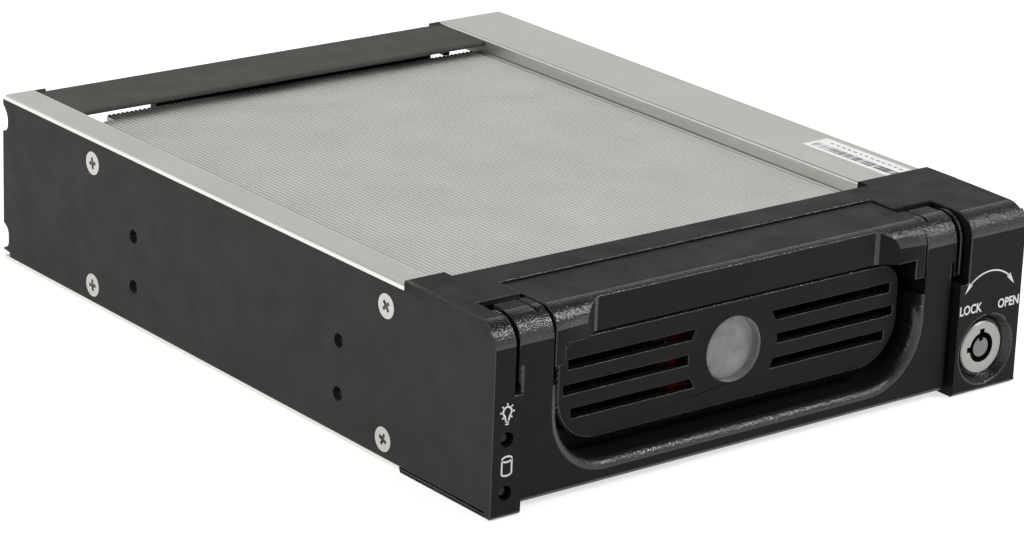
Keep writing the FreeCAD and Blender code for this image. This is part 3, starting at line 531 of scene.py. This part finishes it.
# %% Dressing a piece
WELD = 2e-6  # points closer than this, in metres, are one point
FLAT = math.radians(0.6)  # faces that turn less than this are joined up
SHARP = math.radians(28)  # edges that turn more than this are rounded
SMOOTH = math.radians(35)  # edges that turn less than this are shaded smooth
ROOM = 2.2  # an edge needs this many widths of room
ROUND_STRIP = 1.7 * MM  # slanted faces narrower than this are strips of a radius
PLAIN_TRIANGLES = ("front_grille",)


def gap_between(a, b):
    """Smallest distance from an edge's ends and middle to another edge."""
    start, end = (v.co for v in b.verts)
    along = end - start
    points = [v.co for v in a.verts] + [(a.verts[0].co + a.verts[1].co) / 2]
    gaps = []
    for point in points:
        part = max(0, min(1, (point - start).dot(along) / max(along.length_squared, 1e-12)))
        gaps.append((point - start - along * part).length)
    return min(gaps)


def has_room(edge, width):
    """True where the faces beside an edge are wide enough to be rounded."""
    for face in edge.link_faces:
        for other in face.edges:
            apart = not set(edge.verts) & set(other.verts)
            if apart and gap_between(edge, other) < ROOM * width:
                return False
    return True


def welded_copy(node, width):
    """A copy of a node's mesh with shared corners and single flat faces. Narrow slanted faces
    take the second material, and sharp edges with room beside them are marked for rounding."""
    bm = bmesh.new()
    bm.from_mesh(nodes[node].data)
    bmesh.ops.remove_doubles(bm, verts=bm.verts, dist=WELD)
    if node == "tray_handle":
        bm = carved(bm, ear_gaps(node))
    if node not in PLAIN_TRIANGLES:
        bmesh.ops.dissolve_limit(bm, angle_limit=FLAT, verts=bm.verts, edges=bm.edges)
    for face in bm.faces:
        longest = max(edge.calc_length() for edge in face.edges)
        slanted = max(abs(part) for part in face.normal) < 0.999
        if slanted and face.calc_area() / longest < ROUND_STRIP:
            face.material_index = 1
    marks = bm.edges.layers.float.new("bevel_weight_edge")
    for edge in bm.edges:
        sharp = len(edge.link_faces) == 2 and edge.calc_face_angle(0) > SHARP
        if sharp and edge.calc_length() > ROOM * width and has_room(edge, width):
            edge[marks] = 1.0
    return bm


def dress(node, face, edge, width):
    """A finished copy of a node, with rounded edges, which stands for it."""
    piece = mesh_piece(f"{node}_dressed", welded_copy(node, width), face, edge or face)
    rounding = piece.modifiers.new("rounding", "BEVEL")
    rounding.width = width
    rounding.segments = 3
    rounding.limit_method = "WEIGHT"
    rounding.use_clamp_overlap = False
    rounding.material = 1
    apply_modifiers(piece)
    shade(piece, SMOOTH)
    flatten = piece.modifiers.new("flatten", "WEIGHTED_NORMAL")
    flatten.keep_sharp = True
    apply_modifiers(piece)
    stand_for(piece, node)
    return piece


# %% [markdown]
# Thick mouldings get the widest rounding and sheet metal a narrow one, as their real edges do.
# Circuit boards are cut, so they stay nearly sharp.

# %% The dressed pieces
# (finish of the faces, finish of the edges, rounding in mm, nodes)
DRESS = (
    (side_plastic, side_edge, 0.2, "side_panel_left side_panel_right"),
    (satin_aluminium, cut_aluminium, 0.12, "top_rail_left top_rail_right bottom_plate"),
    (guide_plastic, None, 0.15, "guide_rail_left guide_rail_right"),
    (bezel_plastic, bezel_edge, 0.28, "front_bezel"),
    (rear_plastic, None, 0.2, "rear_frame"),
    (board_green, None, 0.05, "backplane_board"),
    (connector_black, None, 0.08, "sata_socket data_port"),
    (connector_white, None, 0.08, "power_port"),
    (lock_nickel, None, 0.06, "lock_barrel"),
    (nickel, None, 0.1, "lock_nut"),
    (lock_black, None, 0.06, "lock_core"),
    (nickel, None, 0.1, "lock_cam"),
    (satin_aluminium, cut_aluminium, 0.12, "tray_pan"),
    (guide_plastic, None, 0.12, "tray_rear_wall drive_rail_left drive_rail_right"),
    (bezel_plastic, bezel_edge, 0.22, "tray_bezel"),
    (grille_plastic, bezel_edge, 0.12, "front_grille"),
    (board_red, None, 0.05, "status_board"),
    (handle_plastic, bezel_edge, 0.25, "tray_handle"),
)
dressed = {}
for face, edge, width, names in DRESS:
    for node in names.split():
        dressed[node] = dress(node, face, edge, width * MM)
        print(f"{node:18s} {len(dressed[node].data.polygons):6d} faces")

# %% [markdown]
# The bezel's flange has its outer sides painted paler than its front, in the side panels' finish,
# as painted light on the faces that look sideways. The lock is a tubular key lock: its ring and the
# post in the middle are satin nickel, and the groove between them, where the key goes, is painted
# black, as painted shade for the deep keyway. So these faces get a finish of their own.

# %% Second finishes on the bezel and the lock
FLANGE_X = 73.3 * MM  # the flange's sides lie outside this
BORE_R = 4.35 * MM  # the barrel's bore, just over its radius
POST_R = 2.3 * MM  # the plug's post, just over its radius
POST_DEPTH = 3.0 * MM


def repaint(piece, material, test):
    """Give a material to the faces whose middle and direction pass a test."""
    piece.data.materials.append(material)
    index = len(piece.data.materials) - 1
    chosen = [face for face in piece.data.polygons if test(face.center, face.normal)]
    for face in chosen:
        face.material_index = index
    return len(chosen)


LOCK_X, _, LOCK_Z = middle_of("lock_barrel")
LOCK_FACE_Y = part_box("lock_barrel")[0][1]


def from_lock_axis(point):
    return math.hypot(point.x - LOCK_X, point.z - LOCK_Z)


# painted light: the bezel's sideways faces take the side panels' paler finish
flange = repaint(dressed["front_bezel"], side_plastic,
                 lambda c, n: abs(n.x) > 0.9 and abs(c.x) > FLANGE_X)
# painted shade: the barrel's bore and the plug's face in the keyway are painted black
bore = repaint(dressed["lock_barrel"], lock_black,
               lambda c, n: c.y > LOCK_FACE_Y + 0.05 * MM and from_lock_axis(c) < BORE_R)
post = repaint(dressed["lock_core"], post_nickel,
               lambda c, n: from_lock_axis(c) < POST_R and c.y < LOCK_FACE_Y + POST_DEPTH)
print("faces: flange sides", flange, "lock bore", bore, "lock post", post)

# %% [markdown]
# Screws, bars and contacts repeat, so Geometry Nodes make them. Each tree below takes a mesh, a few
# named sizes and a finish. It ends by making its instances real and giving them their material,
# and the result is kept as a plain mesh, so that nothing is left to work out later.

# %% Helpers for Geometry Nodes
def start_tree(name, sizes):
    """A Geometry Nodes tree with named inputs. Returns the tree and its inputs."""
    tree = bpy.data.node_groups.new(name, "GeometryNodeTree")
    face = tree.interface
    face.new_socket("Geometry", in_out="INPUT", socket_type="NodeSocketGeometry")
    for label, kind in sizes.items():
        face.new_socket(label, in_out="INPUT", socket_type=f"NodeSocket{kind}")
    face.new_socket("Finish", in_out="INPUT", socket_type="NodeSocketMaterial")
    face.new_socket("Geometry", in_out="OUTPUT", socket_type="NodeSocketGeometry")
    return tree, add_node(tree, "NodeGroupInput").outputs


def end_tree(tree, size, instances):
    """Make the instances real, give them the finish and send them out. Returns the tree."""
    real = add_node(tree, "GeometryNodeRealizeInstances", {0: instances})
    paint = add_node(tree, "GeometryNodeSetMaterial", {
        "Geometry": real, "Material": size["Finish"]})
    add_node(tree, "NodeGroupOutput", {0: paint})
    return tree


def random_number(tree, low, high, seed):
    """A random number for every point, from low to high."""
    return add_node(tree, "FunctionNodeRandomValue", {"Min": low, "Max": high, "Seed": seed},
                    data_type="FLOAT").outputs["Value"]


def grow(name, mesh, tree, finish_used, sizes):
    """Run a tree on a mesh and keep the result as a plain piece."""
    piece = bpy.data.objects.new(name, mesh)
    scene.collection.objects.link(piece)
    growth = piece.modifiers.new("growth", "NODES")
    growth.node_group = tree
    wanted = {"Finish": finish_used, **sizes}
    for item in tree.interface.items_tree:
        if item.in_out == "INPUT" and item.name in wanted:
            growth[item.identifier] = wanted[item.name]
    apply_modifiers(piece)
    return piece


# %% [markdown]
# The tree makes one screw: a cone for the head and a cylinder for the shank, less two crossed
# blocks and a small cone, which leave a cross recess in the head. Then it puts a copy on every
# point of the mesh that it is given. Each point carries the direction that its screw faces, and
# each screw stops at its own angle, as real ones do.

# %% The screw tree
SCREW_SIZES = ("Top radius", "Under radius", "Head depth", "Shank radius", "Length", "Recess")
HEAD_SIDES, SHANK_SIDES, HUB_SIDES = 40, 32, 12
WING_WIDTH, WING_DEPTH = 0.3, 0.72  # of the cross, as shares of the recess
HUB_TOP, HUB_POINT, HUB_DEPTH = 0.36, 0.1, 0.8  # of the cone in the middle of the cross


def screw_tree():
    tree, size = start_tree("cross_screws", dict.fromkeys(SCREW_SIZES, "Float"))
    recess = size["Recess"]

    def times(a, b, kind="MULTIPLY"):
        return add_node(tree, "ShaderNodeMath", {0: a, 1: b}, operation=kind)

    def moved_down(mesh, depth):
        shift = add_node(tree, "ShaderNodeCombineXYZ", {"Z": times(depth, -1.0)})
        return add_node(tree, "GeometryNodeTransform", {"Geometry": mesh, "Translation": shift})

    head = add_node(tree, "GeometryNodeMeshCone", {
        "Vertices": HEAD_SIDES, "Radius Top": size["Top radius"],
        "Radius Bottom": size["Under radius"], "Depth": size["Head depth"]})
    shank = add_node(tree, "GeometryNodeMeshCylinder", {
        "Vertices": SHANK_SIDES, "Radius": size["Shank radius"], "Depth": size["Length"]})
    low = times(times(size["Length"], 0.5), times(size["Head depth"], 0.5), "ADD")
    whole = add_node(tree, "GeometryNodeMeshBoolean", {
        "Mesh 2": [moved_down(head, size["Head depth"]), moved_down(shank, low)]},
        operation="UNION", solver="EXACT")

    wings = []
    for long_side, short_side in ("XY", "YX"):
        spans = add_node(tree, "ShaderNodeCombineXYZ", {
            long_side: recess, short_side: times(recess, WING_WIDTH),
            "Z": times(recess, WING_DEPTH)})
        wings.append(add_node(tree, "GeometryNodeMeshCube", {"Size": spans}))
    hub = add_node(tree, "GeometryNodeMeshCone", {
        "Vertices": HUB_SIDES, "Radius Top": times(recess, HUB_TOP),
        "Radius Bottom": times(recess, HUB_POINT), "Depth": times(recess, HUB_DEPTH)})
    cross = add_node(tree, "GeometryNodeMeshBoolean", {
        "Mesh 1": whole, "Mesh 2": [*wings, moved_down(hub, times(recess, 0.5))]},
        operation="DIFFERENCE", solver="EXACT")

    facing = add_node(tree, "GeometryNodeInputNamedAttribute", {"Name": "facing"},
                      data_type="FLOAT_VECTOR")
    aim = add_node(tree, "FunctionNodeAlignRotationToVector",
                   {"Vector": facing.outputs["Attribute"]}, axis="Z")
    spin = add_node(tree, "FunctionNodeAxisAngleToRotation", {
        "Axis": (0, 0, 1), "Angle": random_number(tree, 0.0, math.pi / 2, 7)})
    turn = add_node(tree, "FunctionNodeRotateRotation", {"Rotation": aim, "Rotate By": spin},
                    rotation_space="LOCAL")
    place = add_node(tree, "GeometryNodeInstanceOnPoints", {
        "Points": size["Geometry"], "Instance": cross, "Rotation": turn})
    return end_tree(tree, size, place)


cross_screws = screw_tree()
print("screw tree:", len(cross_screws.nodes), "nodes")


# %% [markdown]
# A node's own mesh says where its screws are. It is split into its separate solids, and each one's
# box gives the point in the middle of its head's outer face.

# %% Where the screws are
def islands(node):
    """The box of every separate solid in a node, as a low and a high corner."""
    bm = bmesh.new()
    bm.from_mesh(nodes[node].data)
    bmesh.ops.remove_doubles(bm, verts=bm.verts, dist=WELD)
    seen, boxes = set(), []
    for first in bm.verts:
        stack, points = [first], []
        while stack:
            vert = stack.pop()
            if vert not in seen:
                seen.add(vert)
                points.append(tuple(vert.co))
                stack += [edge.other_vert(vert) for edge in vert.link_edges]
        if points:
            boxes.append((np.min(points, axis=0), np.max(points, axis=0)))
    bm.free()
    return boxes


def screw_points(node, facing):
    """A mesh with one point at each screw's head, which carries the way that the head faces.
    Heads that face along x face outwards."""
    places, ways = [], []
    for low, high in islands(node):
        middle = (low + high) / 2
        way = np.array(facing, dtype=float) * (math.copysign(1, middle[0]) if facing[0] else 1)
        ends = np.where(way > 0, high, low)
        places.append(np.where(way == 0, middle, ends))
        ways.append(way)
    mesh = bpy.data.meshes.new(f"{node}_points")
    mesh.from_pydata([tuple(place) for place in places], [], [])
    layer = mesh.attributes.new("facing", "FLOAT_VECTOR", "POINT")
    layer.data.foreach_set("vector", np.array(ways).ravel())
    return mesh


# node: (way that the heads face, then in mm the radii of the head's top and underside, its depth,
# and the shank's radius and length)
SCREWS = {
    "side_screws": ((1, 0, 0), 2.7, 1.45, 1.25, 1.45, 4.6),
    "base_screws": ((0, 0, -1), 2.65, 1.45, 1.2, 1.45, 3.1),
    "tray_screws": ((0, 0, -1), 2.65, 1.45, 1.2, 1.45, 2.6),
    "board_screws": ((0, -1, 0), 2.4, 2.7, 1.3, 1.25, 8.6),
    "cam_screw": ((0, 1, 0), 3.0, 3.4, 1.9, 1.25, 7.0),
}
RECESS_MM = 2.7
for node, (facing, *sizes) in SCREWS.items():
    screws = grow(f"{node}_cut", screw_points(node, facing), cross_screws, nickel,
                  dict(zip(SCREW_SIZES, mm(*sizes, RECESS_MM))))
    shade(screws, SMOOTH)
    stand_for(screws, node)
    print(f"{node:14s} {len(screws.data.polygons):5d} faces")

# %% [markdown]
# The bars on the label and the contacts in the sockets are rows of small blocks. One tree makes any
# such row. It steps along from a start point, and can draw each block's width at random, with a
# fixed seed, so that the row is the same every time.

# %% The row tree
def row_tree():
    tree, size = start_tree("row_of_blocks", {
        "Count": "Int", "Start": "Vector", "Step": "Vector", "Block": "Vector",
        "Least": "Float", "Most": "Float", "Along": "Vector"})
    line = add_node(tree, "GeometryNodeMeshLine", {
        "Count": size["Count"], "Start Location": size["Start"], "Offset": size["Step"]})
    cube = add_node(tree, "GeometryNodeMeshCube", {"Size": size["Block"]})
    width = random_number(tree, size["Least"], size["Most"], 11)
    more = add_node(tree, "ShaderNodeMath", {0: width, 1: 1.0}, operation="SUBTRACT")
    grown = add_node(tree, "ShaderNodeVectorMath", {0: size["Along"], "Scale": more},
                     operation="SCALE")
    scale = add_node(tree, "ShaderNodeVectorMath", {0: grown, 1: (1, 1, 1)}, operation="ADD")
    place = add_node(tree, "GeometryNodeInstanceOnPoints", {
        "Points": line, "Instance": cube, "Scale": scale})
    return end_tree(tree, size, place)


def grow_on(name, body, tree, finish_used, sizes):
    """A piece that a tree makes from nothing and that rides on a body."""
    piece = grow(name, bpy.data.meshes.new(f"{name}_seed"), tree, finish_used, sizes)
    ride_on(piece, body)
    print(f"{name:16s} {len(piece.data.polygons):5d} faces")


row_of_blocks = row_tree()
print("row tree:", len(row_of_blocks.nodes), "nodes")


def row(name, body, finish_used, count, begin, step, block, widths=(1, 1),
        along=(1, 0, 0)):
    """A row of small blocks, in metres, whose widths along an axis vary between two shares."""
    grow_on(name, body, row_of_blocks, finish_used, {
        "Count": count, "Start": begin, "Step": step, "Block": block, "Least": widths[0],
        "Most": widths[1], "Along": along})


# %% [markdown]
# A paper label is stuck on the right rail, close to the bezel. It has a strip of bars on its inner
# half and a row of short dashes on its outer half.

# %% The label
bezel_low, bezel_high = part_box("front_bezel")
RAIL_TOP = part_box("top_rail_right")[1][2]
LABEL_X = mm(62.5, 70.3)
LABEL_Y = (bezel_high[1] + 0.3 * MM, bezel_high[1] + 30.3 * MM)
PAPER = 0.07 * MM
PRINT = 0.02 * MM
PRINT_Z = RAIL_TOP + PAPER + PRINT / 2


def block(name, low, high, finish_used, body, part_slot):
    """A plain closed block between two corners."""
    bm = bmesh.new()
    bmesh.ops.create_cube(bm, size=1.0)
    for vert in bm.verts:
        for axis in range(3):
            vert.co[axis] = low[axis] if vert.co[axis] < 0 else high[axis]
    ride_on(mesh_piece(name, bm, finish_used), body)


block("label_paper", (LABEL_X[0], LABEL_Y[0], RAIL_TOP),
      (LABEL_X[1], LABEL_Y[1], RAIL_TOP + PAPER), label_paper, "cage", "satin_aluminium")
# (name, count, place of the first on the label, step, size of one, shares of that size drawn)
for name, count, (x, y), step, size, widths in (
        ("label_bars", 30, mm(2.6, 2.2), 0.9 * MM, mm(2.6, 0.5), (0.2, 1.5)),
        ("label_dashes", 13, mm(5.9, 3.4), 1.9 * MM, mm(0.35, 1.2), (0.6, 1.0))):
    row(name, "cage", label_ink, count,
        (LABEL_X[0] + x, LABEL_Y[0] + y, PRINT_Z), (0, step, 0), (*size, PRINT), widths,
        (0, 1, 0))

# %% [markdown]
# The white marks are printed with a soft pad, a few hundredths of a millimetre thick. A lamp stands
# over the power light, and a drum, the usual sign for a disk, over the drive light. Round the key
# an arc with two arrow heads runs between the words LOCK and OPEN. Each line is a thin closed
# ribbon, and the words are text turned into a mesh.

# %% Helpers for print
INK = 0.03 * MM
FRONT = bezel_low[1]
PROUD = 0.012 * MM  # how far the ink stands out; the rest of it is sunk in


def ribbon(points, width, closed=False):
    """Two lines of points, half a width to each side of a path."""
    count = len(points)
    left, right = [], []
    for i, (u, v) in enumerate(points):
        before = points[(i - 1) % count] if closed or i else points[0]
        after = points[(i + 1) % count] if closed or i < count - 1 else points[-1]
        du, dv = after[0] - before[0], after[1] - before[1]
        size = math.hypot(du, dv)
        nu, nv = -dv / size * width / 2, du / size * width / 2
        left.append((u + nu, v + nv))
        right.append((u - nu, v - nv))
    return left, right


def ring(middle, radius, start, end, steps, squash=1.0):
    """Points along an arc, in degrees."""
    turns = [math.radians(start + (end - start) * k / steps) for k in range(steps + 1)]
    return [(middle[0] + radius * math.cos(t), middle[1] + radius * squash * math.sin(t))
            for t in turns]


def printed(name, lines, fills, centre):
    """Ink on the front plane: lines are (points, width, closed) and fills are polygons, in mm
    from a centre given as x and z in metres."""
    bm = bmesh.new()

    def corner(u, v):
        return bm.verts.new((centre[0] + u * MM, FRONT - PROUD, centre[1] + v * MM))

    for points, width, closed in lines:
        if closed:
            points = points[:-1]
        left, right = ribbon(points, width, closed)
        a = [corner(*p) for p in left]
        b = [corner(*p) for p in right]
        for i in range(len(a) if closed else len(a) - 1):
            j = (i + 1) % len(a)
            bm.faces.new((a[i], a[j], b[j], b[i]))
    for polygon in fills:
        bm.faces.new([corner(*p) for p in polygon])
    grown = bmesh.ops.extrude_face_region(bm, geom=bm.faces[:])
    for item in grown["geom"]:
        if isinstance(item, bmesh.types.BMVert):
            item.co.y += INK
    bmesh.ops.recalc_face_normals(bm, faces=bm.faces)
    ride_on(mesh_piece(name, bm, white_ink), "cage")


def printed_word(name, word, left, base, width, height):
    """A bold word on the front plane, fitted to a left edge, a base line, a width and a height."""
    text = bpy.data.curves.new(name, "FONT")
    text.body = word
    text.offset = 0.028
    text.extrude = 0.5
    text.resolution_u = 3
    writer = bpy.data.objects.new(name, text)
    scene.collection.objects.link(writer)
    bpy.context.view_layer.update()
    depsgraph = bpy.context.evaluated_depsgraph_get()
    mesh = bpy.data.meshes.new_from_object(writer.evaluated_get(depsgraph))
    bpy.data.objects.remove(writer)
    points = np.array([tuple(vert.co) for vert in mesh.vertices])
    low, high = points.min(axis=0), points.max(axis=0)
    spans = high - low
    for vert in mesh.vertices:
        u, v, w = ((vert.co[k] - low[k]) / spans[k] for k in range(3))
        vert.co = (left + u * width, FRONT - PROUD + (1 - w) * INK, base + v * height)
    bm = bmesh.new()
    bm.from_mesh(mesh)
    bmesh.ops.remove_doubles(bm, verts=bm.verts, dist=1e-6)
    bmesh.ops.recalc_face_normals(bm, faces=bm.faces)
    ride_on(mesh_piece(name, bm, white_ink), "cage")


# %% [markdown]
# The marks are drawn in millimetres, seen from the front: the lamp from an arc and rays, the drum
# from two squashed arcs, and the key's arc through three points.

# %% The printed marks
LINE = 0.4  # widths of the strokes, in mm
RAY_LINE, BASE_LINE, ARC_LINE = 0.34, 0.28, 0.36
BULB = (0, 0.7)  # the lamp's glass, in mm from the mark's centre
RAY_FROM, RAY_TO = 1.35, 1.85  # distances from the glass's middle
RAY_TURN = 46  # degrees between rays
DRUM_R, DRUM_TOP, DRUM_BASE, DRUM_SQUASH = 1.25, 1.5, -1.45, 0.48
# points on the key's arc, and the tip and neck of each arrow head, as x and z
KEY_ARC = ((57.6, 25.6), (64.5, 27.85), (69.4, 25.75))
ARROW_TIPS = (((56.1, 23.6), (57.6, 25.6)), ((71.1, 23.6), (69.4, 25.75)))
ARROW_HALF = 0.62  # half the arrow head's width
ARROW_BACK = 0.1  # how far it reaches back over the arc, as a share of its length

bulb = [(0.38, -1.2)] + ring(BULB, 1.05, -55, 235, 24) + [(-0.38, -1.2)]
rays = []
for k in range(-3, 4):
    turn = math.radians(90 + RAY_TURN * k)
    rays.append(([(BULB[0] + reach * math.cos(turn), BULB[1] + reach * math.sin(turn))
                  for reach in (RAY_FROM, RAY_TO)], RAY_LINE, False))
base = [([(-0.45, v), (0.45, v)], BASE_LINE, False) for v in (-1.48, -1.95)]
printed("lamp_mark", [(bulb, LINE, False)] + rays + base, [], mm(-69.95, 22.2))
lid_of_drum = ring((0, DRUM_TOP), DRUM_R, 0, 360, 28, DRUM_SQUASH)
foot = ring((0, DRUM_BASE), DRUM_R, 180, 360, 14, DRUM_SQUASH)[1:]
side = [(-DRUM_R, DRUM_TOP), (-DRUM_R, DRUM_BASE)] + foot + [(DRUM_R, DRUM_TOP)]
printed("disk_mark", [(lid_of_drum, LINE, True), (side, LINE, False)], [],
        mm(-69.65, 11.2))


def circle_through(points):
    """Centre and radius of the circle through three points."""
    a, b, c = (np.array(point) for point in points)
    middle = np.linalg.solve([b - a, c - a], [(b @ b - a @ a) / 2, (c @ c - a @ a) / 2])
    return middle, math.dist(a, middle)


arc_middle, arc_radius = circle_through(KEY_ARC)
arc_ends = [math.degrees(math.atan2(p[1] - arc_middle[1], p[0] - arc_middle[0]))
            for p in (KEY_ARC[2], KEY_ARC[0])]
arc = ring(arc_middle, arc_radius, *arc_ends, 24)
heads = []
for tip, neck in ARROW_TIPS:
    du, dv = tip[0] - neck[0], tip[1] - neck[1]
    size = math.hypot(du, dv)
    nu, nv = -dv / size * ARROW_HALF, du / size * ARROW_HALF
    back = (neck[0] - du * ARROW_BACK, neck[1] - dv * ARROW_BACK)
    heads.append([tip, (back[0] + nu, back[1] + nv), (back[0] - nu, back[1] - nv)])
printed("key_arc", [(arc, ARC_LINE, False)], heads, (0, 0))
printed_word("word_lock", "LOCK", *mm(55.0, 18.75, 6.7, 2.25))
printed_word("word_open", "OPEN", *mm(66.6, 18.5, 6.4, 2.25))

# %% [markdown]
# The status lens is a clear plug with a faintly domed face, and a frosted pale disc lies behind it.
# Both are turned shapes, so each is spun from its half outline. The plastic isn't a glass that
# bends light: it is see-through in the middle and turns pale and bright where it is seen edge on,
# which a Layer Weight node tells apart. That pale edge is partly the plastic's own gloss and partly
# painted sheen.

# %% The status lens
LENS_X, _, LENS_Z = middle_of("status_lens")
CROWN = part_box("status_lens")[0][1]
LENS_R = 7.2 * MM
LENS_DEPTH = 2.7 * MM
RIM = 0.45 * MM  # radius of the plug's rounded rim
DOME_HALF, DOME_RIM = mm(0.05, 0.25)  # how far the face falls back half way out and at the rim
DISC_GAP = 0.05 * MM
DISC_THICK = 1.6 * MM
DISC_R = LENS_R - 0.25 * MM


def turned(name, outline, x, z, material, steps=64):
    """A shape spun round a line along y, from (radius, y) points that start and end on it."""
    bm = bmesh.new()
    rings = []
    for radius, y in outline:
        if radius == 0:
            rings.append([bm.verts.new((x, y, z))])
        else:
            rings.append([bm.verts.new((x + radius * math.cos(2 * math.pi * k / steps), y,
                                        z + radius * math.sin(2 * math.pi * k / steps)))
                          for k in range(steps)])
    for a, b in zip(rings, rings[1:]):
        for k in range(steps):
            j = (k + 1) % steps
            corners = [a[k % len(a)], a[j % len(a)], b[j % len(b)], b[k % len(b)]]
            bm.faces.new(list(dict.fromkeys(corners)))
    bmesh.ops.recalc_face_normals(bm, faces=bm.faces)
    piece = mesh_piece(name, bm, material)
    shade(piece, math.radians(40))
    return piece


rim_middle = LENS_R - RIM
rim_front = CROWN + DOME_RIM
outline = [(0, CROWN), (LENS_R * 0.5, CROWN + DOME_HALF), (rim_middle, rim_front)]
for k in range(1, 5):
    turn = math.radians(90 * k / 4)
    outline.append((rim_middle + RIM * math.sin(turn), rim_front + RIM * (1 - math.cos(turn))))
outline += [(LENS_R, CROWN + LENS_DEPTH), (0, CROWN + LENS_DEPTH)]
stand_for(turned("lens_plug", outline, LENS_X, LENS_Z, clear_lens), "status_lens")
disc_front = CROWN + LENS_DEPTH + DISC_GAP
disc_back = disc_front + DISC_THICK
stand_for(turned("frosted_disc", [(0, disc_front), (DISC_R, disc_front), (DISC_R, disc_back),
                                  (0, disc_back)], LENS_X, LENS_Z, reflector_white),
          "lens_reflector")
print("lens crown at", round(CROWN, 4), "disc at", round(disc_front, 4))

# %% [markdown]
# The sockets at the back and inside have rows of gold contacts on their tongues, and the power
# inlet has four plated pins.

# %% Contacts
SKIN = 0.03 * MM  # thickness of a contact, which lies on its tongue
CONTACT_PITCH = 1.27 * MM
PIN_PITCH = 5.08 * MM
PIN_R = 1.07 * MM
PIN_LENGTH = 8 * MM
PIN_SINK = 1.75 * MM  # how far the pins' tips lie inside the inlet
PIN_POINT = 0.5 * MM  # length of the tapered tip

data_x, _, data_z = middle_of("data_port")
row("data_contacts", "cage", gold, 7,
    (data_x - 3.4 * MM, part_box("data_port")[1][1] - 2.6 * MM, data_z + 0.3 * MM + SKIN / 2),
    (CONTACT_PITCH, 0, 0), (0.6 * MM, 3.4 * MM, SKIN))
power_x, _, power_z = middle_of("power_port")
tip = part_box("power_port")[1][1] - PIN_SINK
for k in range(4):
    pin = turned(f"power_pin_{k + 1}", [(0, tip - PIN_LENGTH), (PIN_R, tip - PIN_LENGTH),
                                        (PIN_R, tip - PIN_POINT), (PIN_R * 0.6, tip), (0, tip)],
                 power_x + (k - 1.5) * PIN_PITCH, power_z, nickel, 24)
    ride_on(pin, "cage")
sata_x, _, sata_z = middle_of("sata_socket")
for name, first, count in (("signal_contacts", -16.4, 9), ("supply_contacts", -0.2, 13)):
    row(name, "cage", gold, count,
        (sata_x + first * MM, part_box("sata_socket")[0][1] + 4.3 * MM,
         sata_z - 1.2 * MM + SKIN / 2),
        (CONTACT_PITCH, 0, 0), (0.7 * MM, 4.0 * MM, SKIN))

# %% [markdown]
# Boards carry small chips and passives. A grid of points with some left out at random, and a block
# of random size on each of the rest, looks like a real board from a hand's breadth away.

# %% The board tree
BOARD_SIZES = {"Across": "Float", "Up": "Float", "Columns": "Int", "Rows": "Int",
               "Share": "Float", "Part": "Vector", "Seed": "Int", "Centre": "Vector"}


def board_tree():
    tree, size = start_tree("board_parts", BOARD_SIZES)
    grid = add_node(tree, "GeometryNodeMeshGrid", {
        "Size X": size["Across"], "Size Y": size["Up"], "Vertices X": size["Columns"],
        "Vertices Y": size["Rows"]})
    stand = add_node(tree, "GeometryNodeTransform", {
        "Geometry": grid, "Translation": size["Centre"], "Rotation": (math.pi / 2, 0, 0)})
    chance = add_node(tree, "FunctionNodeRandomValue", {
        "Probability": size["Share"], "Seed": size["Seed"]}, data_type="BOOLEAN")
    cube = add_node(tree, "GeometryNodeMeshCube", {"Size": size["Part"]})
    scale = add_node(tree, "ShaderNodeCombineXYZ", {
        "X": random_number(tree, 0.4, 1.5, 3), "Y": 1.0, "Z": random_number(tree, 0.5, 1.4, 5)})
    place = add_node(tree, "GeometryNodeInstanceOnPoints", {
        "Points": stand, "Selection": chance.outputs["Value"], "Instance": cube,
        "Scale": scale})
    return end_tree(tree, size, place)


board_parts = board_tree()
board_low, board_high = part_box("backplane_board")
board_x = middle_of("backplane_board")[0]
status_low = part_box("status_board")[0]
# (name, body, slot, finish, and what BOARD_SIZES lists)
for name, body, part_slot, finish_used, *sizes in (
        ("board_passives", "cage", "connector_black", label_paper, *mm(90, 12), 22, 4, 0.4,
         mm(1.6, 0.6, 0.9), 4, (board_x, board_low[1] - 0.3 * MM, board_low[2] + 22 * MM)),
        ("board_chips", "cage", "connector_black", connector_black, *mm(80, 8), 6, 2, 0.6,
         mm(5.0, 1.0, 3.4), 9, (board_x, board_high[1] + 0.5 * MM, board_low[2] + 26 * MM)),
        ("status_marks", "tray", "board_red", white_ink, *mm(12, 13), 5, 6, 0.22,
         mm(0.7, 0.1, 0.35), 6, (status_low[0] + 12.5 * MM, status_low[1] + 0.95 * MM,
                                 middle_of("status_board")[2]))):
    grow_on(name, body, board_parts, finish_used, dict(zip(BOARD_SIZES, sizes)))

# %% [markdown]
# A thin black foam is stuck over the inside of the rear vents. It keeps daylight from showing
# through the vents and the slit behind the lid.

# %% The vent filter
WEB_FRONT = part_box("rear_frame")[1][1] - 4.9 * MM  # front face of the wall with the vents
FOAM_X = (TRAY_X - 13.5 * MM, TRAY_X + 42.1 * MM)
FOAM_Y = (WEB_FRONT - 0.9 * MM, WEB_FRONT - 0.01 * MM)
FOAM_Z = mm(20.5, 34.5)
block("vent_filter", *zip(FOAM_X, FOAM_Y, FOAM_Z), connector_black, "cage", "connector_black")
print("filter in front of", round(WEB_FRONT, 4))

# %% [markdown]
# The lid's ribs need no rounding, and the lamps, their board and the hinge pins are hardly seen,
# so these nodes keep their own mesh and only get a finish.

# %% Pieces that keep their plain mesh
PLAIN = {
    "tray_lid": lid_aluminium, "indicator_led": led_resin, "status_leds": lamp_resin,
    "led_board": board_green, "hinge_pins": nickel,
}
for node, face in PLAIN.items():
    data = nodes[node].data
    data.materials.clear()
    data.materials.append(face)
print("only given a finish:", list(PLAIN))
